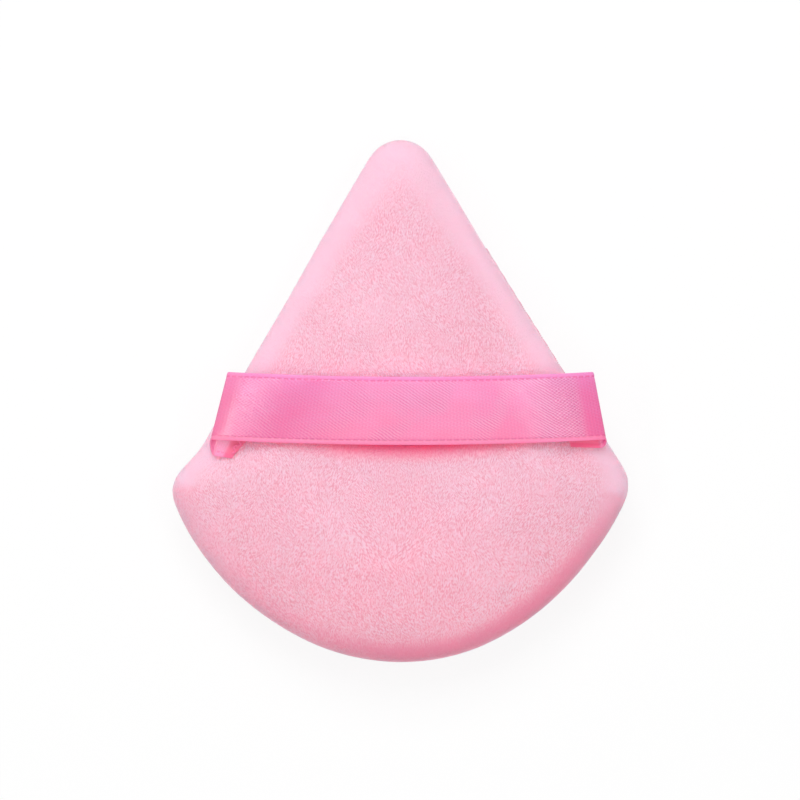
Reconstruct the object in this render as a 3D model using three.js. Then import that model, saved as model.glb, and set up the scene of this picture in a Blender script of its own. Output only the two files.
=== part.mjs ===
// Fan-shaped velour powder puff with a folded satin finger ribbon.
// Millimetres, +Z up. The puff lies on its powdering face with the ribbon uppermost and the
// point towards +Y. The origin lies under the middle of the outline, on the resting plane.
import * as THREE from "three";

const degrees = THREE.MathUtils.degToRad;
const mix = THREE.MathUtils.lerp;

// Outline of the puff
const PUFF_LENGTH = 80;
const TIP_R = 5.45;
const CORNER_R = 4.6;
const SIDE_ANGLE = degrees(31.4);
const BASE_R = 32.7;
const FLANK_R = 41.9;
const BASE_HALF_SPAN = degrees(25.4);

// Padding, with heights measured from the seam plane
const FRONT_H = 9;
const BACK_H = 7.5;
const BACK_FLATTENING = 0.8;
const CROWN_REACH = 24;
const CROWN_FULLNESS = 2.6;
const CROWN_CENTRE_Y = -7;
const RIM_BLEND = 1;

// Covers and foam
const COVER_T = 1.2;
const TURN_R = 1.4;
const SEAM_ALLOWANCE = 3;
const SEAM_GAP = 0.1;
const FOAM_GAP = 0.3;

// Seam threads
const SEAM_THREAD_R = 0.25;
const CLOSING_THREAD_R = 0.2;
const CLOSING_LENGTH = 24;
const CLOSING_PITCH = 2.4;
const CLOSING_SWING = 0.45;
const THREAD_GAP = 0.12;
const THREAD_END_GAP = 0.6;

// Ribbon
const RIBBON_W = 10.2;
const RIBBON_T = 0.35;
const RIBBON_SHIFT_X = 1.3;
const RIBBON_Y = -0.75;
const RIBBON_BOW = 0.75;
const RIBBON_LIFT = 2.2;
const RIBBON_DROP = 2.8;
const RIBBON_CURL = 0.5;
const RIBBON_CURL_POWER = 12;
const RIBBON_TILT = degrees(6);
const CREASE_OVERHANG = 0.5;
const FOLD_GAP = 0.3;
const TAIL_SEAT_GAP = 0.1;
const LEFT_LOOP = {
  side: -1,
  foldSlant: degrees(14),
  tipFoldR: 0.45,
  baseFoldR: 0.6,
  foldSlide: 4,
  tailLength: 6.3,
  tailTurn: degrees(40),
};
const RIGHT_LOOP = {
  side: 1,
  foldSlant: degrees(10.3),
  tipFoldR: 0.5,
  baseFoldR: 0.7,
  foldSlide: 1.8,
  tailLength: 5.3,
  tailTurn: degrees(14),
};

// Bar tacks
const TACK_THREAD_R = 0.2;
const TACK_SIDE_MARGIN = 0.9;
const TACK_END_MARGIN = 1.1;
const TACK_SWING = 0.6;
const TACK_PITCH = 1.4;
const TACK_SEAT_GAP = 0.1;

// Fineness of the faceting
const BASE_STEPS = 10;
const FLANK_STEPS = 6;
const CORNER_STEPS = 5;
const SIDE_STEPS = 6;
const TIP_STEPS = 8;
const CROWN_SHARES = [0.2, 0.42, 0.64, 0.84];
const RIM_SHARES = [1, 0.7, 0.42, 0.18, 0.05];
const LINING_RIM_SHARES = [0.3, 0.8];
const LINING_CROWN_SHARES = [0.96, 0.7, 0.36];
const FOAM_CROWN_SHARES = [0.25, 0.5, 0.75];
const FOAM_RIM_SHARES = [1, 0.6, 0.2];
const THREAD_SEGMENTS = 3;
const SEAM_THREAD_STEPS = 110;
const STEPS_PER_STITCH = 8;
const RUN_STEPS = 60;
const RUN_FOLD_PART = 0.2;
const RUN_ROWS = 2;
const TAIL_STEPS = 8;
const TAIL_ROWS = 6;

const VELOUR = new THREE.MeshStandardMaterial({ color: 0xf6b9cb, roughness: 0.95 });
const SATIN = new THREE.MeshStandardMaterial({ color: 0xf58ebb, roughness: 0.4 });
const FOAM = new THREE.MeshStandardMaterial({ color: 0xf7efe9, roughness: 0.95 });
const THREAD = new THREE.MeshStandardMaterial({ color: 0xee9ab6, roughness: 0.7 });

// Centres of the outline's arcs, on the right-hand half
const BASE_CENTRE = new THREE.Vector2(0, BASE_R - PUFF_LENGTH / 2);
const TIP_CENTRE = new THREE.Vector2(0, PUFF_LENGTH / 2 - TIP_R);
const FLANK_CENTRE = new THREE.Vector2(
  (BASE_R - FLANK_R) * Math.sin(BASE_HALF_SPAN),
  BASE_CENTRE.y + (FLANK_R - BASE_R) * Math.cos(BASE_HALF_SPAN),
);
const SIDE_NORMAL = new THREE.Vector2(Math.cos(SIDE_ANGLE), Math.sin(SIDE_ANGLE));
const SIDE_DOWN = new THREE.Vector2(Math.sin(SIDE_ANGLE), -Math.cos(SIDE_ANGLE));
const CORNER_CENTRE = cornerCentre();
const CROWN_CENTRE = new THREE.Vector2(0, CROWN_CENTRE_Y);
const SEAM_Z = BACK_H;

// The corner arc touches the straight side and the flank arc from inside.
function cornerCentre() {
  const start = TIP_CENTRE.clone().addScaledVector(SIDE_NORMAL, TIP_R - CORNER_R);
  const toStart = start.clone().sub(FLANK_CENTRE);
  const half = toStart.dot(SIDE_DOWN);
  const reach = FLANK_R - CORNER_R;
  const along = Math.sqrt(half * half + reach * reach - toStart.lengthSq()) - half;
  return start.addScaledVector(SIDE_DOWN, along);
}

// Curves of the outline set in by an even amount, anticlockwise from the base's left end.
function outlineCurves(inset) {
  const square = Math.PI / 2;
  const baseEnd = BASE_HALF_SPAN - square;
  const toCorner = CORNER_CENTRE.clone().sub(FLANK_CENTRE);
  const flankEnd = Math.atan2(toCorner.y, toCorner.x);
  const arc = (centre, radius, from, to, steps) => {
    const r = radius - inset;
    return { curve: new THREE.EllipseCurve(centre.x, centre.y, r, r, from, to), steps };
  };
  const mirroredArc = (centre, radius, from, to, steps) => {
    const opposite = new THREE.Vector2(-centre.x, centre.y);
    return arc(opposite, radius, Math.PI - to, Math.PI - from, steps);
  };
  const straight = (from, to) => {
    const curve = new THREE.LineCurve(from.curve.getPoint(1), to.curve.getPoint(0));
    return { curve, steps: SIDE_STEPS };
  };
  const corner = [CORNER_CENTRE, CORNER_R, flankEnd, SIDE_ANGLE, CORNER_STEPS];
  const flank = [FLANK_CENTRE, FLANK_R, baseEnd, flankEnd, FLANK_STEPS];
  const base = arc(BASE_CENTRE, BASE_R, -square - BASE_HALF_SPAN, baseEnd, BASE_STEPS);
  const rightCorner = arc(...corner);
  const leftCorner = mirroredArc(...corner);
  const tip = arc(TIP_CENTRE, TIP_R, SIDE_ANGLE, Math.PI - SIDE_ANGLE, TIP_STEPS);
  return {
    base,
    rightFlank: arc(...flank),
    rightCorner,
    rightSide: straight(rightCorner, tip),
    tip,
    leftSide: straight(tip, leftCorner),
    leftCorner,
    leftFlank: mirroredArc(...flank),
  };
}

function samplePoints(pieces) {
  const points = [];
  for (const { curve, steps } of pieces) {
    for (let i = 0; i < steps; i += 1) {
      points.push(curve.getPoint(i / steps));
    }
  }
  return points;
}

function outlinePoints(inset) {
  return samplePoints(Object.values(outlineCurves(inset)));
}

const RIM = outlineCurves(0);
const RIM_POINTS = outlinePoints(0);
const BASE_EDGE = [
  ...samplePoints([RIM.leftFlank, RIM.base, RIM.rightFlank]),
  RIM.rightFlank.curve.getPoint(1),
];

function distanceToEdge(point, edge, closed) {
  const segment = new THREE.Line3();
  const probe = new THREE.Vector3(point.x, point.y, 0);
  const nearest = new THREE.Vector3();
  const count = closed ? edge.length : edge.length - 1;
  let best = Infinity;
  for (let i = 0; i < count; i += 1) {
    const a = edge[i];
    const b = edge[(i + 1) % edge.length];
    segment.start.set(a.x, a.y, 0);
    segment.end.set(b.x, b.y, 0);
    segment.closestPointToPoint(probe, true, nearest);
    best = Math.min(best, nearest.distanceTo(probe));
  }
  return best;
}

// How far a point lies inside the rim. Close to the rim this is the plain distance; farther in
// the distances to both sides and the base are blended so that the crown has no ridges.
function depth(point) {
  const least = 0.01;
  const plain = distanceToEdge(point, RIM_POINTS, true);
  const toSide = (x) => {
    const offset = new THREE.Vector2(x, point.y).sub(TIP_CENTRE).dot(SIDE_NORMAL);
    return Math.max(TIP_R - offset, least);
  };
  const toBase = Math.max(distanceToEdge(point, BASE_EDGE, false), least);
  const sum = toSide(point.x) ** -3 + toSide(-point.x) ** -3 + toBase ** -3;
  const inner = THREE.MathUtils.smoothstep(plain, RIM_BLEND, CORNER_R);
  return mix(plain, Math.cbrt(1 / sum), inner);
}

// Fullness of the padding, from 0 at the rim to 1 at the crown.
function fullness(inside) {
  const t = THREE.MathUtils.clamp(inside / CROWN_REACH, 0, 1);
  return (1 - (1 - t) ** CROWN_FULLNESS) ** (1 / CROWN_FULLNESS);
}

// Height of a padded skin above the seam plane. It starts at foot on the line margin inside the
// rim and reaches crown over the middle.
function skinHeight(point, margin, foot, crown) {
  return foot + (crown - foot) * fullness(depth(point) - margin);
}

function frontHeight(point) {
  return skinHeight(point, 0, TURN_R, FRONT_H);
}

// The back would dome a little farther but is pressed flat where the puff rests on it.
function backHeight(point, margin, foot) {
  const dome = skinHeight(point, margin, foot, BACK_H + BACK_FLATTENING - margin);
  return Math.min(BACK_H - margin, dome);
}

// A ring of the outline set in evenly, at one height or at the height of a skin.
function insetRing(inset, height) {
  return outlinePoints(inset).map((p) => {
    const z = typeof height === "function" ? height(p) : height;
    return new THREE.Vector3(p.x, p.y, z);
  });
}

// A ring of the outline drawn together towards the crown's centre.
function drawnRing(inset, share, height) {
  return outlinePoints(inset).map((p) => {
    const q = CROWN_CENTRE.clone().lerp(p, share);
    return new THREE.Vector3(q.x, q.y, height(q));
  });
}

function crownPoint(height) {
  return new THREE.Vector3(CROWN_CENTRE.x, CROWN_CENTRE.y, height(CROWN_CENTRE));
}

// A closed skin lofted through rings of equal count, from one pole to the other.
function loftBetweenPoles(firstPole, rings, lastPole) {
  const count = rings[0].length;
  const vertices = [firstPole, ...rings.flat(), lastPole];
  const last = vertices.length - 1;
  const index = [];
  for (let i = 0; i < count; i += 1) {
    const j = (i + 1) % count;
    index.push(0, 1 + i, 1 + j);
    for (let row = 0; row < rings.length - 1; row += 1) {
      const a = 1 + row * count;
      const b = a + count;
      index.push(a + i, b + i, b + j, a + i, b + j, a + j);
    }
    const end = 1 + (rings.length - 1) * count;
    index.push(end + i, last, end + j);
  }
  const geometry = new THREE.BufferGeometry().setFromPoints(vertices);
  geometry.setIndex(index);
  geometry.computeVertexNormals();
  return geometry;
}

// One cover with its edge turned in along the seam. Heights are measured up from the seam.
function coverGeometry(outer, lining) {
  const seam = SEAM_GAP / 2;
  const eighth = TURN_R * Math.SQRT1_2;
  const liningInset = (share) => mix(COVER_T, SEAM_ALLOWANCE, share);
  const rings = [
    ...CROWN_SHARES.map((share) => drawnRing(SEAM_ALLOWANCE, share, outer)),
    ...RIM_SHARES.map((share) => insetRing(SEAM_ALLOWANCE * share, outer)),
    insetRing(0, TURN_R),
    insetRing(TURN_R - eighth, TURN_R - eighth + seam),
    insetRing(TURN_R, seam),
    insetRing(SEAM_ALLOWANCE, seam),
    insetRing(SEAM_ALLOWANCE, COVER_T),
    insetRing(COVER_T, COVER_T),
    ...LINING_RIM_SHARES.map((share) => insetRing(liningInset(share), lining)),
    ...LINING_CROWN_SHARES.map((share) => drawnRing(SEAM_ALLOWANCE, share, lining)),
  ];
  return loftBetweenPoles(crownPoint(outer), rings, crownPoint(lining));
}

function frontCover() {
  const lining = (p) => skinHeight(p, COVER_T, COVER_T, FRONT_H - COVER_T);
  return coverGeometry(frontHeight, lining).translate(0, 0, SEAM_Z);
}

function backCover() {
  const outer = (p) => backHeight(p, 0, TURN_R);
  const lining = (p) => backHeight(p, COVER_T, COVER_T);
  const geometry = coverGeometry(outer, lining);
  const index = Array.from(geometry.getIndex().array).reverse();
  geometry.scale(1, 1, -1).setIndex(index);
  geometry.computeVertexNormals();
  return geometry.translate(0, 0, SEAM_Z);
}

// The foam fills both covers and is grooved round its edge for the turned-in seam allowances.
function foamCore() {
  const margin = COVER_T + FOAM_GAP;
  const groove = SEAM_ALLOWANCE + FOAM_GAP;
  const top = (p) => skinHeight(p, margin, margin, FRONT_H - margin);
  const bottom = (p) => -backHeight(p, margin, margin);
  const rimInset = (share) => mix(margin, groove, share);
  const rings = [
    ...FOAM_CROWN_SHARES.map((share) => drawnRing(groove, share, top)),
    ...FOAM_RIM_SHARES.map((share) => insetRing(rimInset(share), top)),
    insetRing(margin, margin),
    insetRing(groove, margin),
    insetRing(groove, -margin),
    insetRing(margin, -margin),
    ...FOAM_RIM_SHARES.toReversed().map((share) => insetRing(rimInset(share), bottom)),
    ...FOAM_CROWN_SHARES.toReversed().map((share) => drawnRing(groove, share, bottom)),
  ];
  const geometry = loftBetweenPoles(crownPoint(top), rings, crownPoint(bottom));
  return geometry.translate(0, 0, SEAM_Z);
}

// A round thread along a smooth line through points.
function threadAlong(points, radius, steps) {
  const section = new THREE.Shape();
  section.absarc(0, 0, radius, 0, 2 * Math.PI);
  const path = new THREE.CatmullRomCurve3(points);
  const curveSegments = THREAD_SEGMENTS;
  const options = { steps, curveSegments, bevelEnabled: false, extrudePath: path };
  return new THREE.ExtrudeGeometry(section, options);
}

// How far inside the rim a thread lies against both turned edges when it is this far off the
// seam plane.
function valleyInset(radius, offPlane) {
  const reach = TURN_R + radius + THREAD_GAP;
  const rise = TURN_R + SEAM_GAP / 2 - offPlane;
  return TURN_R - Math.sqrt(reach * reach - rise * rise);
}

// A point on the right-hand side, by its distance from the middle of that side towards the tip.
function onClosingSide(inset, run) {
  const side = RIM.rightSide.curve;
  const p = side.getPoint(0.5).addScaledVector(SIDE_NORMAL, -inset);
  return p.addScaledVector(side.getTangent(0.5), run);
}

// The machine seam runs round the rim in the valley between the covers and leaves out the
// stretch that is closed by hand.
function perimeterThread() {
  const reach = CLOSING_LENGTH / 2 + THREAD_END_GAP;
  const inset = valleyInset(SEAM_THREAD_R, 0);
  const rim = outlineCurves(inset);
  const start = onClosingSide(inset, reach);
  const end = onClosingSide(inset, -reach);
  const first = new THREE.LineCurve(start, rim.tip.curve.getPoint(0));
  const last = new THREE.LineCurve(rim.rightCorner.curve.getPoint(1), end);
  const points = samplePoints([
    { curve: first, steps: SIDE_STEPS },
    rim.tip,
    rim.leftSide,
    rim.leftCorner,
    rim.leftFlank,
    rim.base,
    rim.rightFlank,
    rim.rightCorner,
    { curve: last, steps: SIDE_STEPS },
  ]);
  const lifted = [...points, end].map((p) => new THREE.Vector3(p.x, p.y, SEAM_Z));
  return threadAlong(lifted, SEAM_THREAD_R, SEAM_THREAD_STEPS);
}

// The last stretch is drawn shut with a thread that steps from cover to cover.
function closingThread() {
  const stitches = Math.round(CLOSING_LENGTH / CLOSING_PITCH);
  const inset = valleyInset(CLOSING_THREAD_R, CLOSING_SWING);
  const points = [];
  for (let i = 0; i <= 4 * stitches; i += 1) {
    const p = onClosingSide(inset, (i / (4 * stitches) - 0.5) * CLOSING_LENGTH);
    const z = SEAM_Z + CLOSING_SWING * Math.sin((i * Math.PI) / 2);
    points.push(new THREE.Vector3(p.x, p.y, z));
  }
  return threadAlong(points, CLOSING_THREAD_R, STEPS_PER_STITCH * stitches);
}

// Ribbon surface. Every point is worked out for the right-hand loop and mirrored for the left.
// across runs over the ribbon's width from the base edge, -1, to the tip edge, +1.
const HALF_W = RIBBON_W / 2;
const SIDE_X = (TIP_R - (RIBBON_Y - TIP_CENTRE.y) * SIDE_NORMAL.y) / SIDE_NORMAL.x;
const HALF_RUN = SIDE_X + CREASE_OVERHANG;
const CREASE_DIP = Math.atan((2 * RIBBON_DROP + RIBBON_CURL_POWER * RIBBON_CURL) / HALF_RUN);

function placed(loop, x, y, z) {
  return new THREE.Vector3(RIBBON_SHIFT_X + loop.side * x, RIBBON_Y + y, z);
}

function creaseX(loop, across) {
  return HALF_RUN - across * HALF_W * Math.tan(loop.foldSlant);
}

// The run arches over the crown and curls down at its creases.
function runHeight(share, across) {
  const level = SEAM_Z + FRONT_H + RIBBON_LIFT + RIBBON_T / 2;
  const tilt = across * HALF_W * Math.tan(RIBBON_TILT) * (1 - share ** 2);
  return level + tilt - RIBBON_DROP * share ** 2 - RIBBON_CURL * share ** RIBBON_CURL_POWER;
}

// share runs from 0 at mid-length to 1 at the crease.
function runPoint(loop, share, across) {
  const bow = RIBBON_BOW * (1 - share ** 2);
  const y = across * HALF_W - bow;
  return placed(loop, share * creaseX(loop, across), y, runHeight(share, across));
}

// turn runs from 0 where the fold leaves the run to 1 where the tail begins. The fold is wider
// at the base edge, so it slides that way as it turns.
function foldLocal(loop, turn, across) {
  const r = mix(loop.baseFoldR, loop.tipFoldR, (across + 1) / 2);
  const angle = mix(CREASE_DIP, Math.PI, turn);
  const out = r * (Math.sin(angle) - Math.sin(CREASE_DIP));
  const slide = loop.foldSlide * r * THREE.MathUtils.smoothstep(turn, 0, 1);
  return new THREE.Vector3(
    creaseX(loop, across) + out * Math.cos(loop.foldSlant),
    across * HALF_W + out * Math.sin(loop.foldSlant) - slide,
    runHeight(1, across) - r * (Math.cos(CREASE_DIP) - Math.cos(angle)),
  );
}

function foldPoint(loop, turn, across) {
  const p = foldLocal(loop, turn, across);
  return placed(loop, p.x, p.y, p.z);
}

// share runs from 0 at the fold to 1 at the sewn end, which lies on the front cover.
function tailPoint(loop, share, across) {
  const start = foldLocal(loop, 1, across);
  const c = Math.cos(loop.tailTurn);
  const s = Math.sin(loop.tailTurn);
  const endX = HALF_RUN - loop.tailLength * c - across * HALF_W * s;
  const endY = across * HALF_W * c - loop.tailLength * s;
  const sewn = placed(loop, endX, endY, 0);
  const seat = SEAM_Z + frontHeight(sewn) + TAIL_SEAT_GAP + RIBBON_T / 2;
  const settle = THREE.MathUtils.smoothstep(share, 0, 1);
  return placed(
    loop,
    mix(start.x, endX, share),
    mix(start.y, endY, share),
    mix(start.z, seat, settle),
  );
}

// A sheet of even thickness about a surface of two parameters that run from 0 to 1.
function sheetSolid(surface, columns, rows, thickness) {
  const tops = [];
  const bottoms = [];
  const step = 1e-3;
  for (let i = 0; i <= columns; i += 1) {
    for (let j = 0; j <= rows; j += 1) {
      const u = i / columns;
      const v = j / rows;
      const along = surface(Math.min(u + step, 1), v).sub(surface(Math.max(u - step, 0), v));
      const over = surface(u, Math.min(v + step, 1)).sub(surface(u, Math.max(v - step, 0)));
      const offset = along.cross(over).setLength(thickness / 2);
      tops.push(surface(u, v).add(offset));
      bottoms.push(surface(u, v).sub(offset));
    }
  }
  const stride = rows + 1;
  const below = tops.length;
  const index = [];
  const quad = (a, b, c, d) => index.push(a, b, c, a, c, d);
  for (let i = 0; i < columns; i += 1) {
    for (let j = 0; j < rows; j += 1) {
      const a = i * stride + j;
      quad(a, a + stride, a + stride + 1, a + 1);
      quad(below + a, below + a + 1, below + a + stride + 1, below + a + stride);
    }
    const near = i * stride;
    const far = near + rows;
    quad(below + near, below + near + stride, near + stride, near);
    quad(far, far + stride, below + far + stride, below + far);
  }
  for (let j = 0; j < rows; j += 1) {
    const end = columns * stride + j;
    quad(j, j + 1, below + j + 1, below + j);
    quad(below + end, below + end + 1, end + 1, end);
  }
  const geometry = new THREE.BufferGeometry().setFromPoints([...tops, ...bottoms]);
  geometry.setIndex(index);
  geometry.computeVertexNormals();
  return geometry;
}

// The run with both folds is one strip from the left fold's end to the right fold's end.
function ribbonRun() {
  const runPart = 1 - RUN_FOLD_PART;
  const surface = (u, v) => {
    const across = 2 * v - 1;
    const loop = u < 0.5 ? LEFT_LOOP : RIGHT_LOOP;
    const out = Math.abs(2 * u - 1);
    if (out > runPart) {
      return foldPoint(loop, (out - runPart) / RUN_FOLD_PART, across);
    }
    return runPoint(loop, out / runPart, across);
  };
  return sheetSolid(surface, RUN_STEPS, RUN_ROWS, RIBBON_T);
}

function ribbonTail(loop) {
  const clear = FOLD_GAP / loop.tailLength;
  const surface = (u, v) => {
    const along = loop.side > 0 ? u : 1 - u;
    return tailPoint(loop, mix(clear, 1, along), 2 * v - 1);
  };
  return sheetSolid(surface, TAIL_STEPS, TAIL_ROWS, RIBBON_T);
}

// A zigzag of thread across the sewn end of a tail.
function barTack(loop) {
  const length = RIBBON_W - 2 * TACK_SIDE_MARGIN;
  const stitches = Math.round(length / TACK_PITCH);
  const lift = RIBBON_T / 2 + TACK_SEAT_GAP + TACK_THREAD_R;
  const points = [];
  for (let i = 0; i <= 4 * stitches; i += 1) {
    const across = ((i / (4 * stitches) - 0.5) * length) / HALF_W;
    const back = TACK_END_MARGIN - TACK_SWING * Math.sin((i * Math.PI) / 2);
    const p = tailPoint(loop, 1 - back / loop.tailLength, across);
    points.push(p.setZ(p.z + lift));
  }
  return threadAlong(points, TACK_THREAD_R, STEPS_PER_STITCH * stitches);
}

function named(name, geometry, material) {
  const mesh = new THREE.Mesh(geometry, material);
  mesh.name = name;
  return mesh;
}

const puff = new THREE.Group();
puff.add(named("front_cover", frontCover(), VELOUR));
puff.add(named("back_cover", backCover(), VELOUR));
puff.add(named("foam_core", foamCore(), FOAM));
puff.add(named("perimeter_seam_thread", perimeterThread(), THREAD));
puff.add(named("closing_stitch_thread", closingThread(), THREAD));

const strap = new THREE.Group();
strap.add(named("ribbon_run", ribbonRun(), SATIN));
strap.add(named("ribbon_left_tail", ribbonTail(LEFT_LOOP), SATIN));
strap.add(named("ribbon_right_tail", ribbonTail(RIGHT_LOOP), SATIN));
strap.add(named("left_bar_tack", barTack(LEFT_LOOP), THREAD));
strap.add(named("right_bar_tack", barTack(RIGHT_LOOP), THREAD));

const powderPuff = new THREE.Group();
powderPuff.add(puff, strap);

export default powderPuff;
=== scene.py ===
"""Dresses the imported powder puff: velour covers over a foam pad, the sewing threads and the
folded satin finger ribbon, lit in a plain white studio and seen from straight above."""

import logging
import math
from collections.abc import Callable
from dataclasses import dataclass, field
from enum import Enum
from functools import cached_property, lru_cache

import bmesh
import bpy
import numpy as np
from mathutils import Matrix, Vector, noise


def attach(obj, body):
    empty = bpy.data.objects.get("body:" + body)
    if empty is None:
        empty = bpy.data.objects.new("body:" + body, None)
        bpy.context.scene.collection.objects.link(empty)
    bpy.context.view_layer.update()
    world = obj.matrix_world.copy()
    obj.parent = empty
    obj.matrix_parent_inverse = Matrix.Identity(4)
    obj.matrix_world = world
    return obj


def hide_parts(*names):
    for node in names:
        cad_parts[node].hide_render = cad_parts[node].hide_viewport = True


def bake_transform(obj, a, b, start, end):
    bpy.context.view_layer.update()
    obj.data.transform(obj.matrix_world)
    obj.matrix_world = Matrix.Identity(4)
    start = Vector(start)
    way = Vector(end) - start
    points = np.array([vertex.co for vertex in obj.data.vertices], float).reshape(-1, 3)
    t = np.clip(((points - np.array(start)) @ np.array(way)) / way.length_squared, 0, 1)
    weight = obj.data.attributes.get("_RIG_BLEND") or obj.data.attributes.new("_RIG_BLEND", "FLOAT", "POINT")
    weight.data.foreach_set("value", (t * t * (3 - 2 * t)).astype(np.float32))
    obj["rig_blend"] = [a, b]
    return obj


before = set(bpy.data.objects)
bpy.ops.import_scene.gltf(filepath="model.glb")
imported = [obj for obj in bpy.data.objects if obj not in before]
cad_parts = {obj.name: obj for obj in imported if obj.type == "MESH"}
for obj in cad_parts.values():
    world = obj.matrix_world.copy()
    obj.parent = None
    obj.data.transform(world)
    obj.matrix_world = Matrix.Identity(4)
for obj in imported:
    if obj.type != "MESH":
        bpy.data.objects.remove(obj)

LOG = logging.getLogger("powder_puff")
MM = 0.001
POINTS_AT_ONCE = 2000

Pair = tuple[float, float]
Triple = tuple[float, float, float]
Colour = Triple
Span = Pair  # where something starts and where it is full
Scale = Pair  # a factor and what is added
Socket = bpy.types.NodeSocket
Feed = Socket | float | tuple[float, ...]
HeightLine = Callable[[np.ndarray], np.ndarray]
# Share of the ribbon's painted shadow at each point.
ShadowMap = Callable[[np.ndarray], np.ndarray]
Surface = Callable[[float, float], np.ndarray]


class Body(str, Enum):
    """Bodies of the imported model."""

    PUFF = "puff"
    STRAP = "strap"


class Slot(str, Enum):
    """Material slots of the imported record."""

    VELOUR_FRONT = "velour_front"
    VELOUR_BACK = "velour_back"
    FOAM = "foam"
    SATIN = "satin"
    THREAD = "thread"


class Face(Enum):
    """Side of the seam that a cover lies on, as a factor on its heights."""

    FRONT = 1
    BACK = -1


class Side(Enum):
    """End of the ribbon, as a factor on distances along X."""

    LEFT = -1
    RIGHT = 1


def ease(share: np.ndarray | float) -> np.ndarray | float:
    """Eases shares that go from 0 to 1."""
    return share * share * (3 - 2 * share)


def smoothstep(
    value: np.ndarray | float, low: np.ndarray | float, high: np.ndarray | float
) -> np.ndarray:
    """Eases values from 0 at low to 1 at high.

    Args:
        value: Values to ease.
        low: Value that gives 0.
        high: Value that gives 1.

    Returns:
        The eased values.
    """
    return ease(np.clip((value - low) / (high - low), 0.0, 1.0))


def running_length(path: np.ndarray) -> np.ndarray:
    """Measures the way along a path.

    Args:
        path: One row for each point.

    Returns:
        The length from the first point to each point.
    """
    steps = np.linalg.norm(np.diff(path, axis=0), axis=1)
    return np.concatenate([[0.0], np.cumsum(steps)])


def unit_rows(rows: np.ndarray) -> np.ndarray:
    """Scales each row to length 1."""
    return rows / np.linalg.norm(rows, axis=1, keepdims=True)


def read_rows(rows: bpy.types.bpy_prop_collection, name: str) -> np.ndarray:
    """Reads a vector of each row of a mesh's list.

    Args:
        rows: List to read.
        name: Vector's name.

    Returns:
        One row of three numbers for each entry.
    """
    flat = np.empty(3 * len(rows), np.float32)
    rows.foreach_get(name, flat)
    return flat.reshape(-1, 3).astype(float)


def vertex_array(mesh: bpy.types.Mesh) -> np.ndarray:
    """Reads a mesh's points."""
    return read_rows(mesh.vertices, "co")


def normal_array(mesh: bpy.types.Mesh) -> np.ndarray:
    """Reads the normals at a mesh's points."""
    return read_rows(mesh.vertex_normals, "vector")


def write_vertices(mesh: bpy.types.Mesh, points: np.ndarray) -> None:
    """Moves a mesh's points.

    Args:
        mesh: Mesh to change.
        points: One row of three numbers for each vertex.
    """
    mesh.vertices.foreach_set("co", points.astype(np.float32).ravel())
    mesh.update()


def read_values(mesh: bpy.types.Mesh, name: str) -> np.ndarray:
    """Reads one number for each vertex.

    Args:
        mesh: Mesh that has the attribute.
        name: Attribute's name.

    Returns:
        The numbers, in vertex order.
    """
    values = np.empty(len(mesh.vertices), np.float32)
    mesh.attributes[name].data.foreach_get("value", values)
    return values.astype(float)


def write_values(mesh: bpy.types.Mesh, name: str, values: np.ndarray) -> None:
    """Adds one number for each vertex.

    Args:
        mesh: Mesh to change.
        name: New attribute's name.
        values: The numbers, in vertex order.
    """
    entries = mesh.attributes.new(name, "FLOAT", "POINT").data
    entries.foreach_set("value", values.astype(np.float32))


def link_object(name: str, data: bpy.types.ID) -> bpy.types.Object:
    """Puts a new object into the scene.

    Args:
        name: Object's name.
        data: Mesh, curve, lamp or camera.

    Returns:
        The object, at the origin.
    """
    made = bpy.data.objects.new(name, data)
    bpy.context.collection.objects.link(made)
    return made


def object_from_bmesh(name: str, bm: bmesh.types.BMesh) -> bpy.types.Object:
    """Turns a bmesh in millimetres into an object in metres.

    Args:
        name: Object's name.
        bm: Shape, which is used up.

    Returns:
        The linked object, at the origin.
    """
    bmesh.ops.scale(bm, vec=(MM, MM, MM), verts=bm.verts)
    bmesh.ops.recalc_face_normals(bm, faces=bm.faces)
    mesh = bpy.data.meshes.new(name)
    bm.to_mesh(mesh)
    bm.free()
    mesh.shade_smooth()
    return link_object(name, mesh)


def finished_mesh(piece: bpy.types.Object) -> bpy.types.Mesh:
    """Makes a new mesh of an object as its modifiers or its bevel shape it."""
    depsgraph = bpy.context.evaluated_depsgraph_get()
    return bpy.data.meshes.new_from_object(piece.evaluated_get(depsgraph))


def apply_modifiers(piece: bpy.types.Object) -> None:
    """Makes an object's modifiers part of its mesh.

    Args:
        piece: Object whose modifiers are applied and removed.
    """
    settled = finished_mesh(piece)
    settled.name = piece.data.name
    piece.modifiers.clear()
    piece.data = settled


def subdivide(piece: bpy.types.Object, levels: int) -> None:
    """Rounds a coarse mesh with a subdivision surface.

    Args:
        piece: Object to refine.
        levels: Number of subdivisions.
    """
    surface = piece.modifiers.new("fineness", "SUBSURF")
    surface.levels = levels
    surface.render_levels = levels
    apply_modifiers(piece)


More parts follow.
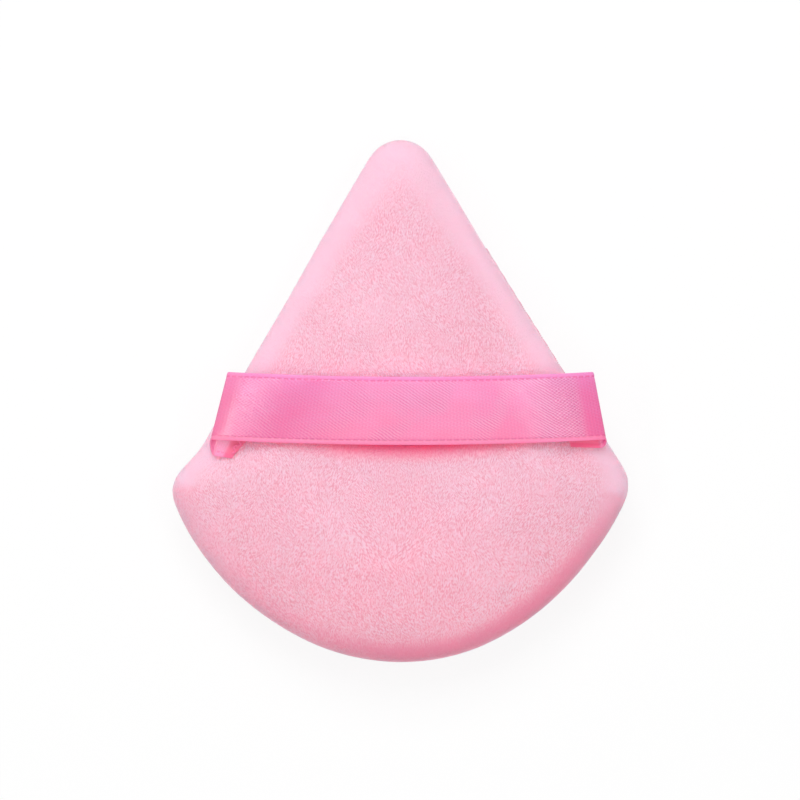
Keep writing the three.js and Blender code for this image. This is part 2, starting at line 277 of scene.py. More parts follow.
class Shader:
    """A node material under construction."""

    def __init__(self, name: str) -> None:
        """Starts a material with its principled surface and the piece's own coordinates.

        Args:
            name: Material's name.
        """
        self.material = bpy.data.materials.new(name)
        self.material.use_nodes = True
        self.tree = self.material.node_tree
        self.surface = self.tree.nodes["Principled BSDF"]
        self.surface.subsurface_method = "BURLEY"
        self.place = self.node("ShaderNodeTexCoord").outputs["Object"]

    def node(self, kind: str, **settings: object) -> bpy.types.Node:
        """Adds a node.

        Args:
            kind: Node type.
            **settings: Node properties.

        Returns:
            The new node.
        """
        made = self.tree.nodes.new(kind)
        for key, value in settings.items():
            setattr(made, key, value)
        return made

    def feed(self, socket: Socket, value: Feed) -> None:
        """Links an output to a socket, or sets the socket to a plain value.

        Args:
            socket: Input to fill.
            value: Output or plain value.
        """
        if isinstance(value, Socket):
            self.tree.links.new(value, socket)
        else:
            socket.default_value = value

    def set(self, **values: Feed) -> None:
        """Feeds the surface's sockets, named with underscores for spaces."""
        for key, value in values.items():
            self.feed(self.surface.inputs[key.replace("_", " ")], value)

    def attribute(self, name: str, output: str = "Fac") -> Socket:
        """Reads an attribute of the mesh, as one number or as a vector."""
        return self.node("ShaderNodeAttribute", attribute_name=name).outputs[output]

    def parts(self, vector: Feed) -> list[Socket]:
        """Separates a vector's three numbers.

        Args:
            vector: Output to separate.

        Returns:
            The three numbers.
        """
        split = self.node("ShaderNodeSeparateXYZ")
        self.feed(split.inputs[0], vector)
        return list(split.outputs)

    def math(self, operation: str, *values: Feed) -> Socket:
        """Adds a math node.

        Args:
            operation: Math operation.
            *values: Numbers or outputs to feed it.

        Returns:
            The node's output.
        """
        made = self.node("ShaderNodeMath", operation=operation)
        for socket, value in zip(made.inputs, values):
            self.feed(socket, value)
        return made.outputs[0]

    def scaled(self, value: Feed, factor: Feed, offset: Feed) -> Socket:
        """Multiplies a value by a factor and adds an offset."""
        return self.math("MULTIPLY_ADD", value, factor, offset)

    def product(self, first: Socket, *others: Feed) -> Socket:
        """Multiplies values with each other.

        Args:
            first: Output to start from.
            *others: Numbers or outputs to multiply it by.

        Returns:
            The product.
        """
        for value in others:
            first = self.math("MULTIPLY", first, value)
        return first

    def rest(self, share: Feed) -> Socket:
        """Gives what a share leaves of 1."""
        return self.math("SUBTRACT", 1.0, share)

    def apart(self, first: Feed, second: Feed) -> Socket:
        """Gives the distance between two numbers."""
        return self.math("ABSOLUTE", self.math("SUBTRACT", first, second))

    def stripes(self, place: Feed, pitch: float) -> Socket:
        """Gives even stripes, from 0 between them to 0.5 along their middles."""
        return self.math("PINGPONG", self.math("DIVIDE", place, pitch), 0.5)

    def noise(
        self, size: Triple, turn: float = 0.0, detail: float = 2.0, source: Socket | None = None
    ) -> Socket:
        """Adds a noise whose grains have a given size and direction.

        Args:
            size: Length, width and height of a grain in metres.
            turn: Direction of a grain's length about Z, in radians.
            detail: Number of finer octaves.
            source: Coordinates, or None for the piece's own.

        Returns:
            The noise, about 0 to 1.
        """
        mapping = self.node("ShaderNodeMapping", vector_type="TEXTURE")
        self.feed(mapping.inputs["Vector"], source or self.place)
        mapping.inputs["Rotation"].default_value = (0.0, 0.0, turn)
        mapping.inputs["Scale"].default_value = size
        grain = self.node("ShaderNodeTexNoise")
        self.feed(grain.inputs["Vector"], mapping.outputs[0])
        grain.inputs["Scale"].default_value = 1.0
        grain.inputs["Detail"].default_value = detail
        return grain.outputs["Fac"]

    def spread(self, value: Feed, low: float, high: float) -> Socket:
        """Eases a value from 0 at low to 1 at high.

        Args:
            value: Output to spread.
            low: Value that gives 0.
            high: Value that gives 1.

        Returns:
            The eased value.
        """
        made = self.node("ShaderNodeMapRange", interpolation_type="SMOOTHSTEP")
        for name, entry in (("Value", value), ("From Min", low), ("From Max", high)):
            self.feed(made.inputs[name], entry)
        return made.outputs[0]

    def blend(self, share: Feed, first: Feed, second: Feed) -> Socket:
        """Mixes two numbers.

        Args:
            share: Share of the second.
            first: Number or output at share 0.
            second: Number or output at share 1.

        Returns:
            The mixed number.
        """
        made = self.node("ShaderNodeMix", data_type="FLOAT")
        for index, value in ((0, share), (2, first), (3, second)):
            self.feed(made.inputs[index], value)
        return made.outputs[0]

    def mix(self, share: Feed, first: Feed, second: Feed) -> Socket:
        """Mixes two colours.

        Args:
            share: Share of the second.
            first: Colour or output at share 0.
            second: Colour or output at share 1.

        Returns:
            The mixed colour.
        """
        made = self.node("ShaderNodeMix", data_type="RGBA")
        for index, value in ((0, share), (6, first), (7, second)):
            self.feed(made.inputs[index], value)
        return made.outputs[2]

    def dye(self, cloth: Socket, colour: Colour, *shares: Feed) -> Socket:
        """Lays a colour over the cloth's own, by the product of the shares."""
        return self.mix(self.product(*shares), cloth, (*colour, 1.0))

    def tint(self, share: Feed, colours: tuple[Colour, ...], ends: Span = (0.0, 1.0)) -> Socket:
        """Adds a ramp of evenly placed colours.

        Args:
            share: Place on the ramp.
            colours: Colours from its first end to its last.
            ends: Places of the first and last colour.

        Returns:
            The colour.
        """
        ramp = self.node("ShaderNodeValToRGB")
        elements = ramp.color_ramp.elements
        while len(elements) < len(colours):
            elements.new(0.5)
        places = np.linspace(*ends, len(colours))
        for element, place, colour in zip(elements, places, colours):
            element.position = place
            element.color = (*colour, 1.0)
        self.feed(ramp.inputs["Fac"], share)
        return ramp.outputs["Color"]

    def let_light_through(self, colour: Feed, share: float) -> None:
        """Makes the surface of thin cloth that shows the light behind it.

        Args:
            colour: Colour of the light that comes through.
            share: Share of the surface that lets it through.
        """
        through = self.node("ShaderNodeBsdfTranslucent")
        self.feed(through.inputs["Color"], colour)
        cloth = self.node("ShaderNodeMixShader")
        cloth.inputs["Fac"].default_value = share
        output = self.tree.nodes["Material Output"]
        self.feed(cloth.inputs[1], self.surface.outputs[0])
        self.feed(cloth.inputs[2], through.outputs[0])
        self.feed(output.inputs["Surface"], cloth.outputs[0])

    def raise_pattern(self, height: Feed, distance: float, strength: float) -> None:
        """Adds a pattern's relief to the surface.

        Args:
            height: Pattern, 0 to 1.
            distance: Depth of the relief in metres.
            strength: Share of it that shows.
        """
        bump = self.node("ShaderNodeBump")
        bump.inputs["Distance"].default_value = distance
        bump.inputs["Strength"].default_value = strength
        self.feed(bump.inputs["Height"], height)
        self.set(Normal=bump.outputs[0])


@dataclass(frozen=True)
class Finish:
    """How a material looks."""

    def dress(self, shader: Shader) -> None:
        """Gives the material its colours, gloss and relief."""
        raise NotImplementedError

    def material(self, name: str) -> bpy.types.Material:
        """Builds the material.

        Args:
            name: Material's name.

        Returns:
            The material.
        """
        shader = Shader(name)
        self.dress(shader)
        return shader.material


@dataclass(frozen=True)
class VelourFinish(Finish):
    """Short brushed pile: streaks that lean several ways. Lower on the pad the pile is painted
    deeper and more contrasting, as painted shade. It reads the attributes "rim" (share of the
    rim's painted light and shade), "edge_calm" (smooth cloth at the rim), "nap" (how far a
    place faces the tip: painted highlight there, painted shade towards the base) and "pressed"
    (painted shadow of the ribbon). Places are in metres, tones from 0 to 1."""

    deep: Colour = (0.85, 0.365, 0.48)
    body: Colour = (0.905, 0.492, 0.622)
    tips: Colour = (0.94, 0.612, 0.74)
    # Painted shade lower on the pad: the deeper ramp and extra contrast used towards the base, over this
    # span of Y.
    shaded_base_deep: Colour = (0.93, 0.355, 0.465)
    shaded_base_body: Colour = (0.985, 0.482, 0.608)
    shaded_base_tips: Colour = (1.0, 0.605, 0.73)
    painted_shade_y: Span = (-0.006, -0.034)
    painted_shade_contrast: float = 0.35
    # Painted light round the rim: a highlight where it faces the tip, shade where it faces the base.
    rim_painted_highlight: Colour = (0.93, 0.56, 0.705)
    rim_painted_shade: Colour = (0.92, 0.25, 0.385)
    rim_break: Scale = (-0.5, 1.25)
    # Painted shadow of the ribbon on the pile.
    painted_ribbon_shadow: Colour = (0.98, 0.1, 0.24)
    streak: Triple = (0.00042, 0.00014, 0.0004)
    streak_detail: float = 1.5
    streak_tones: Span = (0.32, 0.68)
    streak_mean: float = 0.53
    plain_tone: float = 0.52
    leans: Triple = (math.radians(84), math.radians(58), math.radians(122))
    lean_patch: Triple = (0.007, 0.007, 0.007)
    lean_borders: tuple[Span, Span] = ((0.42, 0.58), (0.46, 0.62))
    patch_shift: Triple = (0.4, 0.7, 0.2)
    brushed_patch: Triple = (0.011, 0.011, 0.02)
    brushed_lean: float = 0.3
    brushed_detail: float = 3.0
    brushed_tone: float = 0.5
    calm_tone: float = 0.85
    calm_relief: float = 0.6
    relief: float = 0.00016
    relief_share: float = 0.6
    scatter: Triple = (6.0, 0.8, 1.1)

    def streaks(self, shader: Shader) -> Socket:
        """Draws the pile as patches of fine streaks, each patch with a lean of its own.

        Args:
            shader: Material under construction.

        Returns:
            The pile's tone.
        """
        first, second, third = (
            shader.noise(self.streak, lean, self.streak_detail) for lean in self.leans
        )
        shift = shader.node("ShaderNodeVectorMath", operation="ADD")
        shader.feed(shift.inputs[0], shader.place)
        shift.inputs[1].default_value = self.patch_shift
        choice = shader.spread(shader.noise(self.lean_patch), *self.lean_borders[0])
        moved = shader.noise(self.lean_patch, source=shift.outputs[0])
        other = shader.spread(moved, *self.lean_borders[1])
        pile = shader.blend(other, shader.blend(choice, first, second), third)
        return shader.spread(pile, *self.streak_tones)

    def dress(self, shader: Shader) -> None:
        """Gives the material its colours, gloss and relief.

        Args:
            shader: Material under construction.
        """
        pile = self.streaks(shader)
        calm = shader.attribute("edge_calm")
        shown = shader.blend(shader.product(calm, self.calm_tone), pile, self.plain_tone)
        # Painted shade lower on the pad: deeper colours and stronger streaks towards the base.
        low = shader.spread(shader.parts(shader.place)[1], *self.painted_shade_y)
        gain = shader.scaled(low, self.painted_shade_contrast, 1.0)
        shown = shader.math("SUBTRACT", shown, self.streak_mean)
        shown = shader.scaled(shown, gain, self.plain_tone)
        brushed = shader.noise(self.brushed_patch, self.brushed_lean, self.brushed_detail)
        brushed = shader.scaled(brushed, self.brushed_tone, -self.brushed_tone / 2)
        tone = shader.math("ADD", shown, brushed)
        colour = shader.tint(tone, (self.deep, self.body, self.tips))
        lower = shader.tint(tone, (self.shaded_base_deep, self.shaded_base_body, self.shaded_base_tips))
        colour = shader.mix(low, colour, lower)
        # Painted highlight and painted shade on the rim, by the way it faces.
        edge = shader.tint(shader.attribute("nap"), (self.rim_painted_shade, self.rim_painted_highlight))
        rim = shader.product(shader.attribute("rim"), shader.scaled(shown, *self.rim_break))
        colour = shader.mix(rim, colour, edge)
        # Painted shadow of the ribbon along its base edge.
        colour = shader.dye(colour, self.painted_ribbon_shadow, shader.attribute("ribbon_shadow"))
        shader.set(Base_Color=colour, Roughness=0.95, Specular_IOR_Level=0.15)
        shader.set(Sheen_Weight=0.8, Sheen_Roughness=0.45, Sheen_Tint=(1.0, 0.8, 0.9, 1.0))
        shader.set(Subsurface_Weight=0.85, Subsurface_Radius=self.scatter, Subsurface_Scale=MM)
        height = shader.blend(shader.product(calm, self.calm_relief), pile, self.plain_tone)
        shader.raise_pattern(height, self.relief, self.relief_share)


@dataclass(frozen=True)
class FoamFinish(Finish):
    """Open-cell foam, pale and matt with small round cells, painted darker into each cell as shade."""

    wall: Colour = (0.95, 0.89, 0.84)
    pore_shade: Colour = (0.72, 0.62, 0.57)
    cell: float = 0.0007
    cell_wall: Span = (0.1, 0.7)
    relief_share: float = 0.8

    def dress(self, shader: Shader) -> None:
        """Gives the material its colours, gloss and relief.

        Args:
            shader: Material under construction.
        """
        cells = shader.node("ShaderNodeTexVoronoi")
        shader.feed(cells.inputs["Vector"], shader.place)
        cells.inputs["Scale"].default_value = 1 / self.cell
        pores = shader.spread(cells.outputs["Distance"], *self.cell_wall)
        # Painted shade: each cell deepens to a darker colour in its hollow.
        colour = shader.tint(pores, (self.pore_shade, self.wall))
        shader.set(Base_Color=colour, Roughness=1.0, Specular_IOR_Level=0.1)
        shader.raise_pattern(pores, self.cell / 2, self.relief_share)


@dataclass(frozen=True)
class ThreadFinish(Finish):
    """Spun polyester thread, a shade deeper than the velour."""

    shade: Colour = (0.78, 0.25, 0.4)
    light: Colour = (0.9, 0.42, 0.56)
    tones: Span = (0.25, 0.75)
    fibre: Triple = (0.0006, 0.00008, 0.00008)
    fibre_lean: float = 0.6
    fibre_detail: float = 3.0
    relief: float = 0.00004
    relief_share: float = 0.6

    def dress(self, shader: Shader) -> None:
        """Gives the material its colours, gloss and relief.

        Args:
            shader: Material under construction.
        """
        fibres = shader.noise(self.fibre, self.fibre_lean, self.fibre_detail)
        colour = shader.tint(fibres, (self.shade, self.light), self.tones)
        shader.set(Base_Color=colour, Roughness=0.55, Sheen_Weight=0.2, Sheen_Roughness=0.4)
        shader.raise_pattern(fibres, self.relief, self.relief_share)


@dataclass(frozen=True)
class SatinFinish(Finish):
    """Warp-faced satin with woven edges, with light and shade painted on: glints on the twill
    lines near the ends, a lighter tip side, lighter edges and left end, and shade on the tails.
    The pattern follows the attribute "weave", which holds metres along and across the ribbon and
    how matt and shaded its reverse side is. Distances are in metres, those along the run from
    its left end or, where it says so, from mid-run."""

    deep: Colour = (0.96, 0.172, 0.47)
    body: Colour = (0.95, 0.242, 0.59)
    light: Colour = (0.94, 0.385, 0.76)
    # Darkest tone: weft ribs and stitches, and painted shade between the glinting twill lines.
    groove: Colour = (0.68, 0.11, 0.38)
    # Painted highlight: on the glinting twill lines and along the tip edge.
    painted_highlight: Colour = (0.97, 0.62, 0.86)
    # Painted light: a lighter pink along the base edge's roll and on the left end of the ribbon.
    painted_bend_light: Colour = (1.0, 0.44, 0.63)
    # Tails' reverse side: partly the satin's matt reverse, partly painted shade where the tail dives into
    # the pile.
    reverse_side_and_shade: Colour = (1.0, 0.25, 0.48)
    mid_run: float = 0.031
    half_width: float = 0.0051
    yarn: float = 0.00021
    float_length: float = 0.00095
    float_shift: float = 0.4
    float_dip: float = 0.22
    twill_slope: float = math.tan(math.radians(33))
    twill_pitch: float = 0.00045
    twill_lines: Span = (0.1, 0.4)
    twill_waver: Triple = (0.002, 0.0012, 0.001)
    crossed_from_mid: Span = (0.0205, 0.0235)
    # Where the painted glints on the twill lines come in, near both ends of the run.
    glint_band_from_mid: Span = (0.0165, 0.0215)
    hidden_from_mid: Span = (0.0275, 0.0255)
    faint_left: Span = (0.015, 0.035)
    faint_share: float = 0.4
    shine_patch: Triple = (0.008, 0.005, 0.005)
    shine_lean: float = 0.6
    shine_border: Span = (0.42, 0.62)
    shine_share: float = 0.6
    weft_pitch: float = 0.0005
    weft_rib: Span = (0.4, 0.1)
    rib_depth: float = 0.12
    painted_trough_shade: float = 0.42
    line_shine: float = 0.5
    selvedge: float = 0.00062
    selvedge_border: Pair = (0.9, 1.15)
    selvedge_tone: float = 0.12
    # Painted highlight along the tip edge and painted light along the base edge, on the woven edges.
    tip_edge: Span = (0.003, 0.004)
    tip_edge_share: float = 0.08
    base_edge: Span = (-0.003, -0.004)
    base_edge_share: float = 0.35
    stitch_pitch: float = 0.00105
    stitch_ends: Span = (0.12, 0.2)
    stitch_width: Span = (0.00018, 0.00005)
    stitch_fade: Scale = (-40.0, 0.75)
    stitch_depth: float = 0.48
    # Painted light on the left end of the run, its fold and its tail.
    left_end_light: Span = (0.0062, 0.004)
    left_end_light_share: float = 0.35
    cloud: Triple = (0.006, 0.003, 0.003)
    cloud_tone: Scale = (0.5, 0.09)
    warp_tone: float = 0.4
    # Painted light across the ribbon: lighter towards the tip edge.
    painted_light_across: float = 52.0
    gloss: float = 0.17
    selvedge_gloss: float = 0.3
    reverse_gloss: float = 0.45
    sheerness: float = 0.48
    warp_height: float = 0.3
    rib_height: float = 0.3
    relief: float = 0.00004
    relief_share: float = 0.6

    def warp(self, shader: Shader, along: Socket, across: Socket) -> Socket:
        """Draws the warp: yarns side by side that dip under the weft in turn.

        Args:
            shader: Material under construction.
            along: Metres along the ribbon.
            across: Metres across it.

        Returns:
            The yarns' height, 0 to 1.
        """
        row = shader.math("FLOOR", shader.math("DIVIDE", across, self.yarn))
        lap = shader.math("DIVIDE", along, self.float_length)
        lap = shader.scaled(row, self.float_shift, lap)
        dip = shader.spread(shader.math("PINGPONG", lap, 0.5), 0.0, self.float_dip)
        return shader.product(shader.spread(shader.stripes(across, self.yarn), 0.0, 0.5), dip)

    def twill(self, shader: Shader, weave: Socket) -> tuple[Socket, Socket]:
        """Draws the fine slanted lines, which cross each other at the bends.

        Args:
            shader: Material under construction.
            weave: Place on the ribbon.

        Returns:
            The lines, 0 to 1, and how clearly they show, 0 to 1, which is where their painted
            highlight and painted shade go.
        """
        along, across, _ = shader.parts(weave)
        waver = shader.noise(self.twill_waver, 0.0, 1.0, weave)
        ways = []
        for slope in (self.twill_slope, -self.twill_slope):
            slant = shader.scaled(along, slope, across)
            slant = shader.scaled(waver, self.twill_pitch, slant)
            ways.append(shader.stripes(slant, self.twill_pitch))
        crossed = shader.product(shader.math("ADD", *ways), 0.5)
        reach = shader.apart(along, self.mid_run)
        line = shader.blend(shader.spread(reach, *self.crossed_from_mid), ways[0], crossed)
        patch = shader.noise(self.shine_patch, self.shine_lean, 1.0, weave)
        patch = shader.product(shader.spread(patch, *self.shine_border), self.shine_share)
        clear = shader.math("MAXIMUM", patch, shader.spread(reach, *self.glint_band_from_mid))
        left = shader.spread(along, *self.faint_left)
        left = shader.scaled(left, 1 - self.faint_share, self.faint_share)
        clear = shader.product(clear, shader.spread(reach, *self.hidden_from_mid), left)
        return shader.spread(line, *self.twill_lines), clear

    def edges(self, shader: Shader, along: Socket, across: Socket) -> tuple[Socket, Socket]:
        """Draws the woven edges and the row of stitches along each.

        Args:
            shader: Material under construction.
            along: Metres along the ribbon.
            across: Metres across it.

        Returns:
            The cloth between the edges, 0 to 1, and the stitches, 0 to about 1.
        """
        inward = shader.math("SUBTRACT", self.half_width, shader.math("ABSOLUTE", across))
        near, far = self.selvedge_border
        cloth = shader.spread(inward, self.selvedge * near, self.selvedge * far)
        row = shader.spread(shader.apart(inward, self.selvedge), *self.stitch_width)
        stitch = shader.spread(shader.stripes(along, self.stitch_pitch), *self.stitch_ends)
        return cloth, shader.product(row, stitch, shader.scaled(across, *self.stitch_fade))

    def dress(self, shader: Shader) -> None:
        """Gives the material its colours, gloss and relief.

        Args:
            shader: Material under construction.
        """
        weave = shader.attribute("weave", "Vector")
        along, across, dull_and_shaded = shader.parts(weave)
        warp = self.warp(shader, along, across)
        line, clear = self.twill(shader, weave)
        cloth, stitches = self.edges(shader, along, across)
        edge = shader.rest(cloth)
        weft = shader.stripes(along, self.weft_pitch)
        cloud = shader.noise(self.cloud, 0.0, 2.0, weave)
        tone = shader.scaled(warp, self.warp_tone, shader.scaled(cloud, *self.cloud_tone))
        # Painted light across the ribbon: lighter towards the tip edge, deeper towards the base edge.
        tone = shader.scaled(across, self.painted_light_across, tone)
        tone = shader.scaled(edge, self.selvedge_tone, tone)
        tone = shader.math("SUBTRACT", tone, stitches)
        colour = shader.tint(tone, (self.deep, self.body, self.light))
        ribs = shader.product(shader.spread(weft, *self.weft_rib), self.rib_depth)
        # Dark weft ribs and stitches, and painted shade in the troughs of the glinting twill lines.
        dark_lines_and_painted_shade = shader.scaled(shader.product(shader.rest(line), clear), self.painted_trough_shade, ribs)
        dark_lines_and_painted_shade = shader.scaled(stitches, self.stitch_depth, shader.product(dark_lines_and_painted_shade, cloth))
        colour = shader.dye(colour, self.groove, dark_lines_and_painted_shade)
        # Painted highlight on the glinting twill lines.
        colour = shader.dye(colour, self.painted_highlight, line, clear, cloth, self.line_shine)
        # Painted highlight along the tip edge, painted light along the base edge.
        tip_edge = shader.spread(across, *self.tip_edge)
        colour = shader.dye(colour, self.painted_highlight, edge, tip_edge, self.tip_edge_share)
        base_edge = shader.spread(across, *self.base_edge)
        colour = shader.dye(colour, self.painted_bend_light, edge, base_edge, self.base_edge_share)
        # Painted light on the left end of the run, its fold and its tail.
        left_end_light = shader.spread(along, *self.left_end_light)
        colour = shader.dye(colour, self.painted_bend_light, left_end_light, self.left_end_light_share)
        # Tails' reverse side: deeper red, partly the matt reverse of the satin and partly painted shade.
        colour = shader.dye(colour, self.reverse_side_and_shade, dull_and_shaded)
        gloss = shader.scaled(edge, self.selvedge_gloss, self.gloss)
        gloss = shader.scaled(dull_and_shaded, self.reverse_gloss, gloss)
        shader.set(Base_Color=colour, Roughness=gloss, Specular_IOR_Level=0.9, IOR=1.75)
        shader.set(Sheen_Weight=0.12, Sheen_Roughness=0.3, Sheen_Tint=(1.0, 0.8, 0.95, 1.0))
        shader.let_light_through(colour, self.sheerness)
        height = shader.scaled(weft, self.rib_height, shader.product(line, clear))
        height = shader.scaled(warp, self.warp_height, height)
        height = shader.math("SUBTRACT", shader.product(height, cloth), stitches)
        shader.raise_pattern(height, self.relief, self.relief_share)


@dataclass(frozen=True)
class FanOutline:
    """Seam line of the puff in millimetres: a rounded point, straight sides, small corners and
    a full base. The sewn ribbon draws the pad in, more on the left: each of those lines gives
    shifts along X at places along Y."""

    length: float = 80.0
    tip_r: float = 5.45
    corner_r: float = 4.6
    side_angle: float = math.radians(31.4)
    base_r: float = 32.7
    flank_r: float = 41.9
    base_half_span: float = math.radians(25.4)
    centre_y: float = -7.0
    drawn_left: tuple[Pair, ...] = (
        (-38, 0.0), (-30, -0.25), (-18, -0.2), (-13.7, 0.0), (-10.6, 0.2), (-8, 1.3), (-6, 1.3),
        (-2, 1.1), (5.5, 0.95), (15.5, 0.7), (23, 0.32), (31, 0.1), (36, 0.0),
    )
    drawn_right: tuple[Pair, ...] = (
        (-38, 0.0), (-30, -0.44), (-24, -0.6), (-18, -0.33), (-13.7, -0.2), (-10.6, 0.48),
        (-7.5, 0.36), (5.5, 0.17), (15.5, -0.05), (23, -0.14), (36, 0.0),
    )
    draw_border: float = 14.0
    draw_lags: tuple[float, ...] = (-1.2, -0.4, 0.4, 1.2)
    samples: int = 160
    rim_points: int = 321
    base_points: int = 161
    base_stations: Span = (1.06, 2.94)
    crown_power: float = 3.0
    least_reach: float = 0.01

    @property
    def centre(self) -> np.ndarray:
        """Middle of the crown."""
        return np.array([0.0, self.centre_y])

    @property
    def tip_centre(self) -> np.ndarray:
        """Middle of the tip's rounding."""
        return np.array([0.0, self.length / 2 - self.tip_r])

    @cached_property
    def half(self) -> np.ndarray:
        """Right half of the outline, from the tip to the middle of the base.

        Returns:
            One row of x, y and the outward normal for each point.
        """
        tip = self.tip_centre
        base = np.array([0.0, self.base_r - self.length / 2])
        span = self.base_half_span
        reach = self.flank_r - self.base_r
        flank = base + reach * np.array([-math.sin(span), math.cos(span)])
        side = np.array([math.cos(self.side_angle), math.sin(self.side_angle)])
        down = np.array([side[1], -side[0]])
        start = tip + side * (self.tip_r - self.corner_r)
        lead = start - flank
        half = float(lead @ down)
        room = half * half + (self.flank_r - self.corner_r) ** 2 - float(lead @ lead)
        corner = start + down * (math.sqrt(room) - half)
        turn = math.atan2(corner[1] - flank[1], corner[0] - flank[0])
        low = span - math.pi / 2
        arcs = (
            (tip, self.tip_r, math.pi / 2, self.side_angle),
            (corner, self.corner_r, self.side_angle, turn),
            (flank, self.flank_r, turn, low),
            (base, self.base_r, low, -math.pi / 2),
        )
        rows = []
        for centre, radius, first, last in arcs:
            angle = np.linspace(first, last, self.samples)
            normal = np.stack([np.cos(angle), np.sin(angle)], axis=1)
            rows.append(np.hstack([centre + radius * normal, normal]))
        return np.vstack(rows)

    @cached_property
    def stations(self) -> np.ndarray:
        """Place of each row of half: 0 at the tip, 1 at mid-corner and 2 at mid-base.

        Returns:
            The places.
        """
        run = running_length(self.half[:, :2])
        mid = run[self.samples + self.samples // 2]
        return np.where(run < mid, run / mid, 1 + (run - mid) / (run[-1] - mid))

    def rim(self, station: np.ndarray, inset: float = 0.0) -> np.ndarray:
        """Finds points on the outline set in by an even amount.

        Args:
            station: Places, 0 to 4 clockwise from the tip.
            inset: Distance inside the outline.

        Returns:
            One row of x and y for each place.
        """
        folded = np.minimum(station, 4 - station)
        x, y, nx, ny = (np.interp(folded, self.stations, column) for column in self.half.T)
        mirror = np.where(station > 2, -1.0, 1.0)
        return np.stack([mirror * (x - inset * nx), y - inset * ny], axis=1)

    def ring(self, station: np.ndarray, inset: float, share: float) -> np.ndarray:
        """Finds points on an inset outline that is drawn together towards the crown's middle."""
        return self.centre + share * (self.rim(station, inset) - self.centre)

    def patch(self, u: np.ndarray, v: np.ndarray) -> np.ndarray:
        """Spreads a square evenly over the outline's inside.

        Args:
            u: Places towards the right-hand corner, 0 to 1.
            v: Places towards the left-hand corner, 0 to 1.

        Returns:
            One row of x and y for each place.
        """
        tip, right, low, left = self.rim(np.arange(4.0))
        p, q = u[:, None], v[:, None]
        sides = (1 - q) * self.rim(u) + q * self.rim(3 - u)
        sides = sides + (1 - p) * self.rim(4 - v) + p * self.rim(1 + v)
        corners = (1 - p) * (1 - q) * tip + p * (1 - q) * right + p * q * low + (1 - p) * q * left
        return sides - corners

    @staticmethod
    def reach(points: np.ndarray, line: np.ndarray) -> np.ndarray:
        """Measures the distance from points to a line of straight pieces.

        Args:
            points: One row of x and y for each point.
            line: Ends of the straight pieces, in order.

        Returns:
            The distances.
        """
        first, step = line[:-1], np.diff(line, axis=0)
        size = np.maximum((step * step).sum(axis=1), 1e-12)
        best = []
        for some in np.array_split(points, max(1, len(points) // POINTS_AT_ONCE)):
            lead = some[:, None] - first
            along = np.clip((lead * step).sum(axis=2) / size, 0.0, 1.0)
            gap = lead - along[:, :, None] * step
            best.append(np.sqrt((gap * gap).sum(axis=2).min(axis=1)))
        return np.concatenate(best)

    def depth(self, points: np.ndarray) -> np.ndarray:
        """Measures how far points lie inside the rim, smoothed over the crown.

        Args:
            points: One row of x and y for each point.

        Returns:
            The depths.
        """
        plain = self.reach(points, self.rim(np.linspace(0.0, 4.0, self.rim_points)))
        base_line = self.rim(np.linspace(*self.base_stations, self.base_points))
        reaches = [self.reach(points, base_line)]
        for side in Side:
            normal = np.array([side.value * math.cos(self.side_angle), math.sin(self.side_angle)])
            reaches.append(self.tip_r - (points - self.tip_centre) @ normal)
        total = sum(np.maximum(r, self.least_reach) ** -self.crown_power for r in reaches)
        inner = smoothstep(plain, 1.0, self.corner_r)
        return plain * (1 - inner) + total ** (-1 / self.crown_power) * inner

    def drawn_in(self, points: np.ndarray) -> np.ndarray:
        """Shifts points along X as the ribbon draws the pad in.

        Args:
            points: One row for each point, in millimetres.

        Returns:
            The shifted points.
        """
        right = smoothstep(points[:, 0], -self.draw_border, self.draw_border)
        shift = np.zeros(len(points))
        for line, share in ((self.drawn_left, 1 - right), (self.drawn_right, right)):
            place, amount = np.array(line).T
            for lag in self.draw_lags:
                drawn = np.interp(points[:, 1] + lag, place, amount)
                shift += share * drawn / len(self.draw_lags)
        moved = points.copy()
        moved[:, 0] += shift
        return moved


@dataclass(frozen=True)
class PadSizes:
    """Padding and covers in millimetres, with heights measured from the seam plane."""

    front_h: float = 9.0
    back_h: float = 7.5
    back_flattening: float = 0.8
    crown_reach: float = 24.0
    crown_fullness: float = 2.6
    cover_t: float = 1.2
    turn_r: float = 1.4
    allowance: float = 3.0
    seam_gap: float = 0.1
    foam_gap: float = 0.3

    @property
    def seam_z(self) -> float:
        """Height of the seam plane above the resting plane."""
        return self.back_h

    def fullness(self, inside: np.ndarray) -> np.ndarray:
        """Gives the padding's fullness, from 0 at the rim to 1 at the crown."""
        t = 1 - np.clip(inside / self.crown_reach, 0.0, 1.0)
        return (1 - t**self.crown_fullness) ** (1 / self.crown_fullness)

    def front(self, depth: np.ndarray, margin: float, foot: float) -> np.ndarray:
        """Gives the front skin's height, foot at margin inside the rim and full at the crown."""
        return foot + (self.front_h - margin - foot) * self.fullness(depth - margin)

    def back(self, depth: np.ndarray, margin: float, foot: float) -> np.ndarray:
        """Gives the back skin's height, flat where the puff rests on it.

        Args:
            depth: Depths inside the rim.
            margin: Distance inside the cover's outside.
            foot: Height at the rim.

        Returns:
            The heights.
        """
        crown = self.back_h + self.back_flattening - margin
        dome = foot + (crown - foot) * self.fullness(depth - margin)
        return np.minimum(self.back_h - margin, dome)


@dataclass(frozen=True)
class Ring:
    """One ring of a padded skin: an outline set in and drawn together, at a set height or on a
    skin."""

    inset: float
    height: float | HeightLine
    share: float = 1.0


